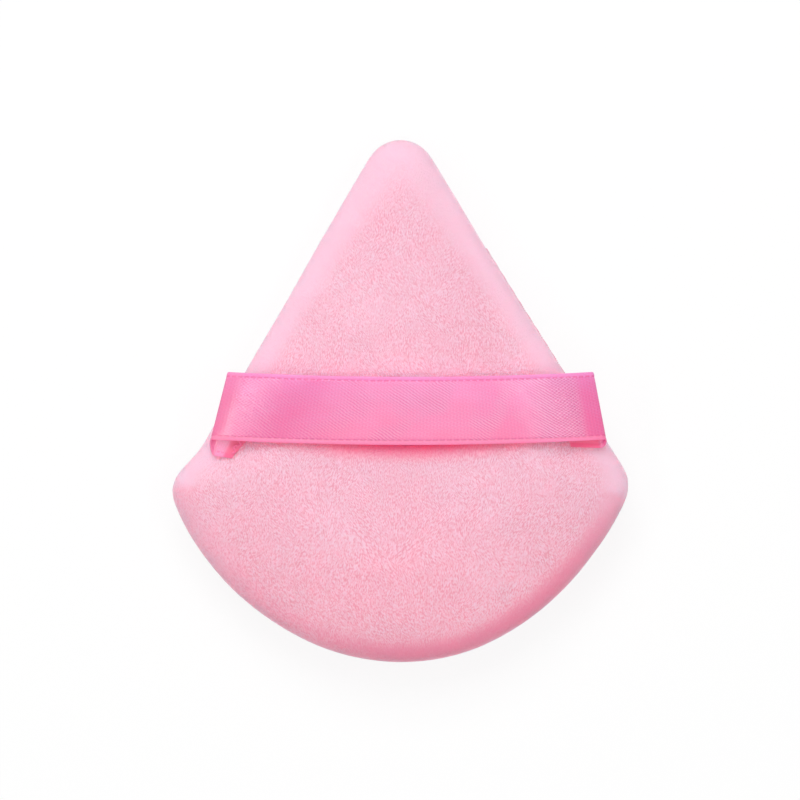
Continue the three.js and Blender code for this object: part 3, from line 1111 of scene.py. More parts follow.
@dataclass
class PadLoft:
    """A closed padded skin: a grid over the crown, grown outwards ring by ring over the rim and
    back in to a pole underneath."""

    outline: FanOutline
    cells: int = 40
    core_share: float = 0.82

    def build(self, crown: HeightLine, rings: list[Ring], pole: HeightLine) -> bmesh.types.BMesh:
        """Builds the skin in millimetres above the seam plane.

        Args:
            crown: Height over the crown for a depth.
            rings: Rings from the crown's edge to the last one before the pole.
            pole: Height of the pole for a depth.

        Returns:
            The skin, with each vertex's depth in the layer "inside".
        """
        bm = bmesh.new()
        bmesh.ops.create_grid(bm, x_segments=self.cells, y_segments=self.cells, size=1.0)
        inside = bm.verts.layers.float.new("inside")
        station = bm.verts.layers.float.new("station")
        square = np.array([v.co[:2] for v in bm.verts]) / 2 + 0.5
        u, v = square[:, 0], square[:, 1]
        spot = self.outline.patch(u, v)
        spot = self.outline.centre + self.core_share * (spot - self.outline.centre)
        places = np.select([v == 0, u == 1, v == 1, u == 0], [u, 1 + v, 3 - u, 4 - v], 0.0)
        verts = list(bm.verts)
        self.place(verts, inside, spot, crown)
        for vert, value in zip(verts, places):
            vert[station] = value
        edges = [e for e in bm.edges if e.is_boundary]
        for ring in rings:
            edges, grown = self.grow(bm, edges)
            spot = self.outline.ring(np.array([g[station] for g in grown]), ring.inset, ring.share)
            self.place(grown, inside, spot, ring.height)
        edges, grown = self.grow(bm, edges)
        spot = np.repeat(self.outline.centre[None], len(grown), axis=0)
        self.place(grown, inside, spot, pole)
        bmesh.ops.pointmerge(bm, verts=grown, merge_co=grown[0].co)
        return bm

    @staticmethod
    def grow(
        bm: bmesh.types.BMesh, edges: list[bmesh.types.BMEdge]
    ) -> tuple[list[bmesh.types.BMEdge], list[bmesh.types.BMVert]]:
        """Extrudes a loop of edges.

        Args:
            bm: Skin.
            edges: Loop on its boundary.

        Returns:
            The new loop's edges and vertices.
        """
        geometry = bmesh.ops.extrude_edge_only(bm, edges=edges)["geom"]
        loop = [g for g in geometry if isinstance(g, bmesh.types.BMEdge) and g.is_boundary]
        return loop, [g for g in geometry if isinstance(g, bmesh.types.BMVert)]

    def place(
        self,
        verts: list[bmesh.types.BMVert],
        inside: bmesh.types.BMLayerItem,
        spot: np.ndarray,
        height: float | HeightLine,
    ) -> None:
        """Moves vertices to points of the plan at a set height or on a skin.

        Args:
            verts: Vertices to move.
            inside: Layer that keeps each vertex's depth.
            spot: One row of x and y for each vertex.
            height: Height, or the skin's height for a depth.
        """
        depth = self.outline.depth(spot)
        z = height(depth) if callable(height) else np.full(len(spot), height)
        for vert, (x, y), deep, up in zip(verts, spot, depth, z):
            vert.co = (x, y, up)
            vert[inside] = deep


@dataclass
class Inflation:
    """A short cloth simulation that puffs a held skin out, with a cap on how far it goes."""

    pressure: float = 4.0
    frames: int = 20
    enlargement: float = 20.0
    cap: float = 0.0007

    def swell(self, piece: bpy.types.Object, held: np.ndarray) -> None:
        """Inflates an object's mesh in place.

        Args:
            piece: Object to inflate.
            held: Pin weight of each vertex, 1 where it can't move.
        """
        rest = vertex_array(piece.data)
        double = link_object("inflating", piece.data.copy())
        write_vertices(double.data, rest * self.enlargement)
        group = double.vertex_groups.new(name="held")
        for index, weight in enumerate(held):
            group.add([index], float(weight), "REPLACE")
        cloth = double.modifiers.new("inflation", "CLOTH")
        cloth.settings.use_pressure = True
        cloth.settings.uniform_pressure_force = self.pressure
        cloth.settings.vertex_group_mass = group.name
        cloth.settings.effector_weights.gravity = 0.0
        cloth.point_cache.frame_start = 1
        cloth.point_cache.frame_end = self.frames
        for number in range(1, self.frames + 1):
            bpy.context.scene.frame_set(number)
        apply_modifiers(double)
        moved = vertex_array(double.data) / self.enlargement - rest
        far = np.linalg.norm(moved, axis=1, keepdims=True)
        share = np.minimum(1.0, self.cap / np.maximum(far, 1e-9))
        LOG.info("%s: inflated by up to %.2f mm", piece.name, float(far.max()) / MM)
        write_vertices(piece.data, rest + moved * share)
        bpy.data.objects.remove(double)
        bpy.context.scene.frame_set(1)


@dataclass
class Pile:
    """Clumps of pile on a cover, moulded into the mesh itself."""

    clump: Triple = (1.2, 0.7, 0.9)
    clump_depth: float = 0.035
    lean: float = math.radians(80)
    second_lean: float = 0.8
    second_shift: float = 50.0
    swell: Triple = (9.0, 7.0, 9.0)
    swell_depth: float = 0.12
    swell_lean: float = 0.5
    least_shown: float = 0.01

    @staticmethod
    def grain(points: np.ndarray, size: Triple, lean: float) -> np.ndarray:
        """Samples a noise whose grains have a given size and direction.

        Args:
            points: Points in millimetres.
            size: Length, width and height of a grain.
            lean: Direction of a grain's length about Z.

        Returns:
            One number, about -1 to 1, for each point.
        """
        c, s = math.cos(lean), math.sin(lean)
        along = (points[:, 0] * c + points[:, 1] * s) / size[0]
        across = (points[:, 1] * c - points[:, 0] * s) / size[1]
        rows = zip(along.tolist(), across.tolist(), (points[:, 2] / size[2]).tolist())
        return np.array([noise.noise(Vector(row)) for row in rows])

    def press(self, mesh: bpy.types.Mesh, amount: np.ndarray) -> None:
        """Moves a mesh's points along their normals by the pile's height.

        Args:
            mesh: Cover's mesh in metres.
            amount: Share of the pile at each vertex.
        """
        points = vertex_array(mesh)
        normals = normal_array(mesh)
        shown = np.flatnonzero(amount > self.least_shown)
        spots = points[shown] / MM
        other, other_lean = spots + self.second_shift, self.lean - self.second_lean
        height = self.clump_depth * self.grain(spots, self.clump, self.lean)
        height += self.clump_depth * self.grain(other, self.clump, other_lean)
        height += self.swell_depth * self.grain(spots, self.swell, self.swell_lean)
        step = (height * amount[shown])[:, None] * MM
        points[shown] += step * normals[shown]
        write_vertices(mesh, points)


@dataclass
class VelourCover:
    """One velour cover with its edge turned in along the seam. Sizes are in millimetres."""

    face: Face
    outline: FanOutline
    sizes: PadSizes
    finish: VelourFinish
    roots: list[np.ndarray] = field(default_factory=list)
    shadow_map: ShadowMap | None = None
    crown_edge: float = 1.5
    crown_share: float = 0.915
    rim_insets: tuple[float, ...] = (3.0, 2.2, 1.55, 1.05, 0.66, 0.38, 0.18, 0.05)
    turn_steps: int = 5
    lining_edge: float = 0.1
    lining_shares: Triple = (1.0, 0.72, 0.36)
    skin_reach: float = 0.02
    free_depth: Span = (1.2, 5.0)
    free_height: Span = (0.02, 0.6)
    fineness: int = 2
    dimple: float = 0.55
    dimple_reach: float = 2.2
    # Direction and spread of the rim's painted highlight; facing away, the rim takes painted shade.
    lit_side_facing: float = math.radians(102)
    lit_side_span: Span = (-0.9, -0.3)
    nap_stands: float = math.radians(-148)
    stands_span: Span = (0.5, 0.9)
    stands_nap: float = 0.55
    stands_rim: float = 0.5
    stands_calm: float = 0.75
    calm_start: float = 1.4
    calm_reach: float = 4.6
    calm_growth: float = 2.4
    growth_y: Span = (12.0, 32.0)
    calm_share: float = 0.9
    level_span: Span = (0.15, 0.6)
    wall_share: float = 0.6
    rim_pile: float = 0.45
    pile_depth: Span = (0.5, 5.0)
    pile_height: Span = (0.05, 0.8)
    inflation: Inflation = field(default_factory=Inflation)
    pile: Pile = field(default_factory=Pile)

    def skin(self, margin: float, foot: float) -> HeightLine:
        """Gives the height line of the skin that lies margin inside the cover."""
        line = self.sizes.front if self.face is Face.FRONT else self.sizes.back
        return lambda depth: line(depth, margin, foot)

    @property
    def outside(self) -> HeightLine:
        """Height line of the outside."""
        return self.skin(0.0, self.sizes.turn_r)

    @property
    def lining(self) -> HeightLine:
        """Height line of the inside."""
        return self.skin(self.sizes.cover_t, self.sizes.cover_t)

    def rings(self) -> list[Ring]:
        """Lists the rings from the crown's edge over the turned rim to the lining.

        Returns:
            The rings, in order.
        """
        s = self.sizes
        seam = s.seam_gap / 2
        rings = [Ring(self.crown_edge, self.outside, self.crown_share)]
        rings += [Ring(inset, self.outside) for inset in self.rim_insets]
        for angle in np.linspace(0.0, math.pi / 2, self.turn_steps):
            inset = s.turn_r * (1 - math.cos(angle))
            rings.append(Ring(inset, seam + s.turn_r * (1 - math.sin(angle))))
        rings += [Ring(s.allowance, seam), Ring(s.allowance, s.cover_t)]
        rings.append(Ring(s.cover_t + self.lining_edge, s.cover_t))
        rings += [Ring(s.allowance, self.lining, share) for share in self.lining_shares]
        return rings

    def build(self, name: str, node: str, slot: Slot) -> bpy.types.Object:
        """Builds and dresses the cover.

        Args:
            name: Piece's name.
            node: CAD node that it stands for.
            slot: Material slot; not used.

        Returns:
            The finished piece.
        """
        bm = PadLoft(self.outline).build(self.outside, self.rings(), self.lining)
        skin = bm.verts.layers.float.new("skin")
        inside = bm.verts.layers.float["inside"]
        outside = self.outside(np.array([vert[inside] for vert in bm.verts]))
        for vert, height in zip(bm.verts, outside):
            vert[skin] = float(abs(vert.co.z - height) < self.skin_reach)
            vert.co.z = self.sizes.seam_z + self.face.value * vert.co.z
        piece = object_from_bmesh(name, bm)
        self.shape(piece)
        piece.data.materials.append(self.finish.material(name))
        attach(piece, Body.PUFF.value)
        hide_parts(node)
        return piece

    def shape(self, piece: bpy.types.Object) -> None:
        """Inflates the cover, refines it, presses it in at the tacks and gives it its pile.

        Args:
            piece: Coarse cover.
        """
        mesh = piece.data
        free = smoothstep(read_values(mesh, "inside"), *self.free_depth)
        free = read_values(mesh, "skin") * free
        if self.face is Face.BACK:
            free = free * smoothstep(vertex_array(mesh)[:, 2] / MM, *self.free_height)
        self.inflation.swell(piece, 1 - free)
        subdivide(piece, self.fineness)
        mesh = piece.data
        outer, depth = read_values(mesh, "skin"), read_values(mesh, "inside")
        points = self.outline.drawn_in(vertex_array(mesh) / MM)
        for root in self.roots:
            gap = self.outline.reach(points[:, :2], root)
            points[:, 2] -= outer * self.dimple * np.exp(-((gap / self.dimple_reach) ** 2))
        write_vertices(mesh, points * MM)
        self.mark(mesh, points, depth)
        grown = smoothstep(depth, *self.pile_depth)
        amount = outer * (self.rim_pile + (1 - self.rim_pile) * grown)
        if self.face is Face.BACK:
            amount = amount * smoothstep(points[:, 2], *self.pile_height)
        self.pile.press(mesh, amount)

    def mark(self, mesh: bpy.types.Mesh, points: np.ndarray, depth: np.ndarray) -> None:
        """Marks which way the rim faces, for its painted highlight and painted shade, and where the ribbon's
        painted shadow lies.

        Args:
            mesh: Refined cover.
            points: Its points in millimetres.
            depth: How far each of them lies inside the rim.
        """
        across, along, up = normal_array(mesh).T
        facing = np.arctan2(along, across)
        raised = smoothstep(np.cos(facing - self.nap_stands), *self.stands_span)
        # How far each place faces the tip, where the rim is painted lit rather than shaded.
        nap = smoothstep(np.cos(facing - self.lit_side_facing), *self.lit_side_span)
        reach = self.calm_reach + self.calm_growth * smoothstep(points[:, 1], *self.growth_y)
        level = smoothstep(np.abs(up), *self.level_span)
        band = self.calm_share * (1 - smoothstep(depth, self.calm_start, reach))
        band = band * (self.wall_share + (1 - self.wall_share) * level)
        write_values(mesh, "nap", nap * (1 - self.stands_nap * raised))
        write_values(mesh, "rim", band * (1 - self.stands_rim * raised))
        write_values(mesh, "edge_calm", band * (1 - self.stands_calm * raised * level))
        # Painted shadow of the ribbon, on the front cover only.
        ribbon_shadow = self.shadow_map(points) if self.shadow_map else np.zeros(len(points))
        write_values(mesh, "ribbon_shadow", ribbon_shadow)


@dataclass
class FoamPad:
    """Foam that fills both covers, grooved round its edge for the seam allowances."""

    outline: FanOutline
    sizes: PadSizes
    finish: FoamFinish
    edge_insets: Pair = (2.6, 2.0)
    bottom_shares: Triple = (0.8, 0.55, 0.3)
    cells: int = 28
    core_share: float = 0.8

    def build(self, name: str) -> bpy.types.Object:
        """Builds and dresses the foam.

        Args:
            name: Piece's name.

        Returns:
            The finished piece.
        """
        s = self.sizes
        margin = s.cover_t + s.foam_gap
        groove = s.allowance + s.foam_gap

        def top(depth: np.ndarray) -> np.ndarray:
            """Gives the upper skin's height."""
            return s.front(depth, margin, margin)

        def bottom(depth: np.ndarray) -> np.ndarray:
            """Gives the lower skin's height."""
            return -s.back(depth, margin, margin)

        edge = (groove, *self.edge_insets, margin)
        rings = [Ring(inset, top) for inset in edge]
        rings += [Ring(groove, margin), Ring(groove, -margin)]
        rings += [Ring(inset, bottom) for inset in reversed(edge)]
        rings += [Ring(groove, bottom, share) for share in self.bottom_shares]
        bm = PadLoft(self.outline, self.cells, self.core_share).build(top, rings, bottom)
        bmesh.ops.translate(bm, vec=(0.0, 0.0, s.seam_z), verts=bm.verts)
        piece = object_from_bmesh(name, bm)
        subdivide(piece, 1)
        write_vertices(piece.data, self.outline.drawn_in(vertex_array(piece.data) / MM) * MM)
        piece.data.materials.append(self.finish.material(name))
        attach(piece, Body.PUFF.value)
        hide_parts("foam_core")
        return piece


@dataclass
class TwistedThread:
    """A sewing thread of two plies twisted round each other."""

    finish: ThreadFinish
    radius: float = 0.22
    lay: float = 1.1
    steps_per_turn: int = 8

    def build(self, name: str, node: str, path: np.ndarray) -> bpy.types.Object:
        """Builds and dresses a thread.

        Args:
            name: Piece's name.
            node: CAD node that it stands for.
            path: Points in millimetres that the thread follows.

        Returns:
            The finished piece.
        """
        run = running_length(path)
        count = max(self.steps_per_turn, round(run[-1] / self.lay * self.steps_per_turn))
        at = np.linspace(0.0, run[-1], count)
        line = np.stack([np.interp(at, run, column) for column in path.T], axis=1)
        ahead = unit_rows(np.gradient(line, axis=0))
        side = unit_rows(np.cross(ahead, (0.0, 0.0, 1.0)))
        over = np.cross(side, ahead)
        turn = (2 * math.pi * at / self.lay)[:, None]
        offset = (np.cos(turn) * side + np.sin(turn) * over) * self.radius / 2
        curve = bpy.data.curves.new(name, "CURVE")
        curve.dimensions = "3D"
        curve.bevel_depth = self.radius / 2 * MM
        curve.bevel_resolution = 1
        curve.use_fill_caps = True
        for ply in (line + offset, line - offset):
            spline = curve.splines.new("POLY")
            spline.points.add(count - 1)
            rows = np.hstack([ply * MM, np.ones((count, 1))])
            spline.points.foreach_set("co", rows.astype(np.float32).ravel())
        piece = self.to_mesh(name, curve)
        piece.data.materials.append(self.finish.material(name))
        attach(piece, Body.PUFF.value)
        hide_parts(node)
        return piece

    @staticmethod
    def to_mesh(name: str, curve: bpy.types.Curve) -> bpy.types.Object:
        """Turns the round curve into a mesh object.

        Args:
            name: Object's name.
            curve: Curve with its thickness, which is used up.

        Returns:
            The linked object.
        """
        source = link_object(name, curve)
        mesh = finished_mesh(source)
        bpy.data.objects.remove(source)
        bpy.data.curves.remove(curve)
        mesh.shade_smooth()
        return link_object(name, mesh)


@dataclass
class RimSeam:
    """Threads in the valley between the covers: the machine seam and the hand-closed stretch on
    the right-hand side."""

    outline: FanOutline
    sizes: PadSizes
    finish: ThreadFinish
    seam_r: float = 0.25
    closing_r: float = 0.2
    closing_length: float = 24.0
    closing_pitch: float = 2.4
    closing_swing: float = 0.45
    closing_lay: float = 0.9
    points_per_stitch: int = 24
    seam_points: int = 1600
    thread_gap: float = 0.12
    end_gap: float = 0.6
    stitch: float = 2.2
    stitch_dip: float = 0.06

    def valley(self, radius: float, off_plane: float) -> float:
        """Gives how far inside the rim a thread lies against both turned edges.

        Args:
            radius: Thread's radius.
            off_plane: How far it swings from the seam plane.

        Returns:
            The distance.
        """
        reach = self.sizes.turn_r + radius + self.thread_gap
        rise = self.sizes.turn_r + self.sizes.seam_gap / 2 - off_plane
        return self.sizes.turn_r - math.sqrt(reach * reach - rise * rise)

    def side_stations(self) -> Triple:
        """Finds the hand-closed stretch on the right-hand side.

        Returns:
            The stations at its middle and at both ends of its gap.
        """
        ends = slice(self.outline.samples - 1, self.outline.samples + 1)
        tip, corner = self.outline.stations[ends]
        run = float(np.linalg.norm(np.diff(self.outline.half[ends, :2], axis=0)))
        middle = (corner + tip) / 2
        reach = (self.closing_length / 2 + self.end_gap) / run * (corner - tip)
        return middle, middle - reach, middle + reach

    def build(self) -> list[bpy.types.Object]:
        """Builds and dresses both threads.

        Returns:
            The finished pieces.
        """
        middle, first, last = self.side_stations()
        return [self.machine_seam(first, last), self.closing(middle, last)]

    def machine_seam(self, first: float, last: float) -> bpy.types.Object:
        """Runs the seam round the rim, dipping between its stitches.

        Args:
            first: Station at which the turning gap starts.
            last: Station at which it ends.

        Returns:
            The finished piece.
        """
        stations = np.linspace(last, 4.0 + first, self.seam_points) % 4.0
        spot = self.outline.rim(stations, self.valley(self.seam_r, 0.0))
        dip = self.stitch_dip * np.sin(2 * math.pi * running_length(spot) / self.stitch)
        path = np.column_stack([spot, self.sizes.seam_z + dip])
        thread = TwistedThread(self.finish, self.seam_r)
        path = self.outline.drawn_in(path)
        return thread.build("rim_seam_thread", "perimeter_seam_thread", path)

    def closing(self, middle: float, last: float) -> bpy.types.Object:
        """Steps the closing thread from cover to cover.

        Args:
            middle: Station at the middle of the turning gap.
            last: Station at which the gap ends.

        Returns:
            The finished piece.
        """
        stitches = round(self.closing_length / self.closing_pitch)
        share = np.linspace(-0.5, 0.5, self.points_per_stitch * stitches + 1)
        reach = (last - middle) * self.closing_length / (self.closing_length / 2 + self.end_gap)
        inset = self.valley(self.closing_r, self.closing_swing)
        spot = self.outline.rim(middle + share * reach, inset)
        swing = self.closing_swing * np.sin(2 * math.pi * (share + 0.5) * stitches)
        path = np.column_stack([spot, self.sizes.seam_z + swing])
        thread = TwistedThread(self.finish, self.closing_r, self.closing_lay)
        path = self.outline.drawn_in(path)
        return thread.build("closing_thread", "closing_stitch_thread", path)


@dataclass(frozen=True)
class Loop:
    """How the ribbon folds at one end, in millimetres. The tail shines from its fold over the share
    glint of its length, and the rest of its reverse side is matt and takes painted shade."""

    side: Side
    slant: float
    tip_fold_r: float
    base_fold_r: float
    slide: float
    tail_length: float
    tail_turn: float
    glint: float


@dataclass(eq=False)
class FingerRibbon:
    """One strip of satin: a run across the front, folded under at both ends to two short sewn
    tails. Places across go from -1 at the base edge to 1 at the tip edge. Sizes are in
    millimetres, apart from the whole strip's cut_length in metres."""

    outline: FanOutline
    sizes: PadSizes
    satin: SatinFinish
    thread: ThreadFinish = ThreadFinish(shade=(0.97, 0.2, 0.4), light=(1.0, 0.27, 0.5))
    width: float = 10.2
    thickness: float = 0.35
    shift_x: float = 1.3
    y: float = -0.75
    bow: float = 0.75
    lift: float = 2.2
    drop: float = 2.8
    curl: float = 0.5
    curl_power: int = 12
    tilt: float = math.radians(6)
    overhang: float = 0.5
    cut_length: float = 0.0725
    sink: float = 0.45
    # The run's painted shadow on the pile: its edges below the base edge, its reach at mid-run and where it
    # hides under the run.
    shadow_start: float = -0.3
    shadow_end: float = 0.8
    shadow_reach: float = 2.6
    shadow_hidden: float = -1.0
    woven_edge: float = 0.62
    edge_share: float = 0.5
    edge_bulge: float = 0.3
    edge_lead: float = 0.12
    body_share: float = 0.62
    groove_share: float = 0.2
    groove_reach: float = 0.16
    edge_crowding: float = 0.6
    glint_border: float = 0.1
    bend_early: float = 0.3
    bend_late: float = 0.05
    columns: int = 190
    fold_part: float = 0.1
    tail_columns: int = 22
    rows: int = 44
    left: Loop = Loop(
        Side.LEFT, slant=math.radians(14), tip_fold_r=0.45, base_fold_r=0.6, slide=4.0,
        tail_length=6.3, tail_turn=math.radians(40), glint=0.5,
    )
    right: Loop = Loop(
        Side.RIGHT, slant=math.radians(10.3), tip_fold_r=0.5, base_fold_r=0.7, slide=1.8,
        tail_length=5.3, tail_turn=math.radians(14), glint=0.0,
    )
    tack_r: float = 0.2
    tack_side_margin: float = 0.9
    tack_end_margin: float = 1.1
    tack_swing: float = 0.6
    tack_pitch: float = 1.4
    tack_lay: float = 0.8
    points_per_stitch: int = 16

    @property
    def half_w(self) -> float:
        """Half the ribbon's width."""
        return self.width / 2

    @cached_property
    def half_run(self) -> float:
        """Distance from mid-run to the crease at mid-width.

        Returns:
            The distance.
        """
        o = self.outline
        below = float(self.y - o.tip_centre[1])
        side_x = (o.tip_r - below * math.sin(o.side_angle)) / math.cos(o.side_angle)
        return side_x + self.overhang

    @cached_property
    def dip(self) -> float:
        """Slope of the run where it reaches the crease, as an angle."""
        return math.atan((2 * self.drop + self.curl_power * self.curl) / self.half_run)

    def placed(self, side: Side, x: float, y: float, z: float) -> np.ndarray:
        """Mirrors a point of the right-hand loop to its side and puts it in place."""
        return np.array([self.shift_x + side.value * x, self.y + y, z])

    def crease_x(self, loop: Loop, across: float) -> float:
        """Gives the crease's distance from mid-run."""
        return self.half_run - across * self.half_w * math.tan(loop.slant)

    def run_height(self, share: float, across: float) -> float:
        """Gives the run's height, arched over the crown and curled down at the creases.

        Args:
            share: 0 at mid-length to 1 at the crease.
            across: Place across the ribbon.

        Returns:
            The height.
        """
        level = self.sizes.seam_z + self.sizes.front_h + self.lift + self.thickness / 2
        tilt = across * self.half_w * math.tan(self.tilt) * (1 - share * share)
        return level - self.drop * share * share - self.curl * share**self.curl_power + tilt

    def run_point(self, loop: Loop, share: float, across: float) -> np.ndarray:
        """Gives a point of the run.

        Args:
            loop: Which end.
            share: 0 at mid-length to 1 at the crease.
            across: Place across the ribbon.

        Returns:
            The point.
        """
        bow = self.bow * (1 - share * share)
        x = share * self.crease_x(loop, across)
        y = across * self.half_w - bow
        return self.placed(loop.side, x, y, self.run_height(share, across))

    def fold_local(self, loop: Loop, turn: float, across: float) -> Triple:
        """Gives a point of a fold as if it were on the right.

        Args:
            loop: Which end.
            turn: 0 at the run to 1 at the tail.
            across: Place across the ribbon.

        Returns:
            The distance from mid-run, the place from the ribbon's middle line, and the height.
        """
        share = (across + 1) / 2
        r = loop.base_fold_r * (1 - share) + loop.tip_fold_r * share
        angle = self.dip + turn * (math.pi - self.dip)
        out = r * (math.sin(angle) - math.sin(self.dip))
        slide = loop.slide * r * ease(turn)
        return (
            self.crease_x(loop, across) + out * math.cos(loop.slant),
            across * self.half_w + out * math.sin(loop.slant) - slide,
            self.run_height(1.0, across) - r * (math.cos(self.dip) - math.cos(angle)),
        )

    @lru_cache(maxsize=512)
    def seat(self, side: Side, x: float, y: float) -> float:
        """Gives the height of a sewn end, a little below the tips of the pile.

        Args:
            side: Which end.
            x: Distance from mid-run.
            y: Place from the ribbon's middle line.

        Returns:
            The height.
        """
        sewn = self.placed(side, x, y, 0.0)[None, :2]
        depth = self.outline.depth(2 * sewn - self.outline.drawn_in(sewn))
        front = float(self.sizes.front(depth, 0.0, self.sizes.turn_r)[0])
        return self.sizes.seam_z + front + self.thickness / 2 - self.sink

    def tail_point(self, loop: Loop, share: float, across: float) -> np.ndarray:
        """Gives a point of a tail.

        Args:
            loop: Which end.
            share: 0 at the fold to 1 at the sewn end, which sinks into the pile.
            across: Place across the ribbon.

        Returns:
            The point.
        """
        start = self.fold_local(loop, 1.0, across)
        c, s = math.cos(loop.tail_turn), math.sin(loop.tail_turn)
        end_x = self.half_run - loop.tail_length * c - across * self.half_w * s
        end_y = across * self.half_w * c - loop.tail_length * s
        seat = self.seat(loop.side, end_x, end_y)
        settle = ease(share)
        return self.placed(
            loop.side,
            start[0] + (end_x - start[0]) * share,
            start[1] + (end_y - start[1]) * share,
            start[2] + (seat - start[2]) * settle,
        )

    def ribbon_shadow_share(self, points: np.ndarray) -> np.ndarray:
        """Gives the share of the run's painted shadow on the pile, which shows along its base edge.

        Args:
            points: One row for each point, in millimetres.

        Returns:
            One number for each point, 0 to 1.
        """
        share = np.minimum(np.abs(points[:, 0] - self.shift_x) / self.half_run, 1.0)
        arch = 1 - share * share
        below = self.y - self.half_w - self.bow * arch - points[:, 1]
        band = 1 - smoothstep(below, self.shadow_start, self.shadow_end + self.shadow_reach * arch)
        return band * smoothstep(below, -self.half_w, self.shadow_hidden) * arch * arch

    def root_line(self, loop: Loop) -> np.ndarray:
        """Gives the line of a tail's tack as rows of x and y."""
        share = 1 - self.tack_end_margin / loop.tail_length
        return np.array([self.tail_point(loop, share, a)[:2] for a in np.linspace(-1, 1, 5)])

    def strip(
        self,
        name: str,
        columns: int,
        surface: Surface,
        start: float,
        dull_and_shaded: Callable[[float], float] | None = None,
    ) -> bpy.types.Object:
        """Builds a strip of satin with woven edges about a surface.

        Args:
            name: Piece's name.
            columns: Cells along the strip.
            surface: Point for a place along, 0 to 1, and across, -1 to 1.
            start: Metres along the ribbon at the strip's first edge.
            dull_and_shaded: How matt the reverse side is, and how much painted shade it takes, for a place
                along, or None for the shiny side.

        Returns:
            The linked object, with its material.
        """
        bm = bmesh.new()
        bmesh.ops.create_grid(bm, x_segments=columns, y_segments=self.rows, size=1.0)
        weave = bm.verts.layers.float_vector.new("weave")
        deform = bm.verts.layers.deform.verify()
        middle = np.array([surface(u, 0.0) for u in np.linspace(0.0, 1.0, columns + 1)])
        run = start + running_length(middle) * MM
        for vert in bm.verts:
            u = (vert.co.x + 1) / 2
            crowded = math.sin(vert.co.y * math.pi / 2) * self.edge_crowding
            across = crowded + vert.co.y * (1 - self.edge_crowding)
            inward = self.half_w * (1 - abs(across))
            vert[deform][0] = self.edge_weight(inward)
            along = float(np.interp(u * columns, np.arange(columns + 1), run))
            place = across * self.half_w * MM
            # On the tails the places across are mirrored, so their painted light across the ribbon and their
            # edge colours swap sides.
            vert[weave] = (along, -place, dull_and_shaded(u)) if dull_and_shaded else (along, place, 0.0)
            vert.co = surface(u, across)
        piece = object_from_bmesh(name, bm)
        piece.vertex_groups.new(name="woven_edge")
        body = piece.modifiers.new("body", "SOLIDIFY")
        body.thickness = self.thickness * MM
        body.offset = 0.0
        body.vertex_group = "woven_edge"
        body.use_even_offset = False
        apply_modifiers(piece)
        piece.vertex_groups.clear()
        piece.data.set_sharp_from_angle(angle=math.radians(60))
        piece.data.materials.append(self.satin.material(name))
        return piece

    def edge_weight(self, inward: float) -> float:
        """Gives the share of full thickness: a rounded woven edge, a groove and a thin body.

        Args:
            inward: Distance from the ribbon's edge.

        Returns:
            The share.
        """
        edge = self.woven_edge
        if inward < edge:
            turn = math.pi * min(1.0, inward / edge + self.edge_lead)
            return self.edge_share + self.edge_bulge * math.sin(turn)
        groove = math.exp(-(((inward - edge) / self.groove_reach) ** 2))
        return self.body_share - self.groove_share * groove

    def build(self) -> list[bpy.types.Object]:
        """Builds and dresses the run, the tails and their tacks.

        Returns:
            The finished pieces.
        """
        run_part = 1 - self.fold_part

        def run_surface(u: float, across: float) -> np.ndarray:
            """Gives a point of the run or of one of its folds.

            Args:
                u: Place along, 0 to 1.
                across: Place across, -1 to 1.

            Returns:
                The point.
            """
            loop = self.left if u < 0.5 else self.right
            out = abs(2 * u - 1)
            if out > run_part:
                turn = (out - run_part) / self.fold_part
                return self.placed(loop.side, *self.fold_local(loop, turn, across))
            return self.run_point(loop, out / run_part, across)

        run = self.strip("satin_run", self.columns, run_surface, 0.0)
        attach(run, Body.STRAP.value)
        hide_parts("ribbon_run")
        pieces = [run]
        for loop in (self.left, self.right):
            word = loop.side.name.lower()
            tail = self.tail(loop, f"satin_{word}_tail")
            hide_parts(f"ribbon_{word}_tail")
            path = self.tack_path(loop)
            thread = TwistedThread(self.thread, self.tack_r, self.tack_lay)
            pieces += [tail, thread.build(f"{word}_tack_thread", f"{word}_bar_tack", path)]
        return pieces

    def tail(self, loop: Loop, name: str) -> bpy.types.Object:
        """Builds a tail that follows the run at its fold and the puff at its sewn end.

        Args:
            loop: Which end.
            name: Piece's name.

        Returns:
            The finished piece.
        """
        border = self.glint_border

        def from_fold(u: float) -> float:
            """Gives the share of the tail from its fold, which comes last on the left."""
            return u if loop.side is Side.RIGHT else 1 - u

        def tail_surface(u: float, across: float) -> np.ndarray:
            """Gives a point of the tail."""
            return self.tail_point(loop, from_fold(u), across)

        def dull_and_shaded(u: float) -> float:
            """Gives how matt the reverse side is and how much painted shade it takes."""
            return float(smoothstep(from_fold(u), loop.glint - border, loop.glint + border))

        start = loop.side.value * self.satin.mid_run
        tail = self.strip(name, self.tail_columns, tail_surface, start, dull_and_shaded)
        root, fold = self.bend_line(loop)
        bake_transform(tail, Body.PUFF.value, Body.STRAP.value, start=tuple(root), end=tuple(fold))
        return tail

    def bend_line(self, loop: Loop) -> tuple[np.ndarray, np.ndarray]:
        """Finds the line along which a tail rises with the run, between its tack and its fold.

        Args:
            loop: Which end.

        Returns:
            Where the tail starts to rise and where it has risen in full, in metres.
        """
        places = np.linspace(-1.0, 1.0, 9)
        tack_share = 1 - self.tack_end_margin / loop.tail_length
        tack, fold = (
            np.array([self.tail_point(loop, share, a) for a in places])
            for share in (tack_share, 0.0)
        )
        axis = np.zeros(3)
        for edge in (tack, fold):
            out = np.cross(edge[-1] - edge[0], (0.0, 0.0, loop.side.value))
            axis += out / np.linalg.norm(out)
        axis[2] = 0.0
        axis /= np.linalg.norm(axis)
        near, far = float((tack @ axis).max()), float((fold @ axis).min())
        middle = tack[len(places) // 2]
        foot = middle - axis * (middle @ axis)
        room = far - near
        first = foot + axis * (near - self.bend_early * room)
        last = foot + axis * (far + self.bend_late * room)
        return first * MM, last * MM

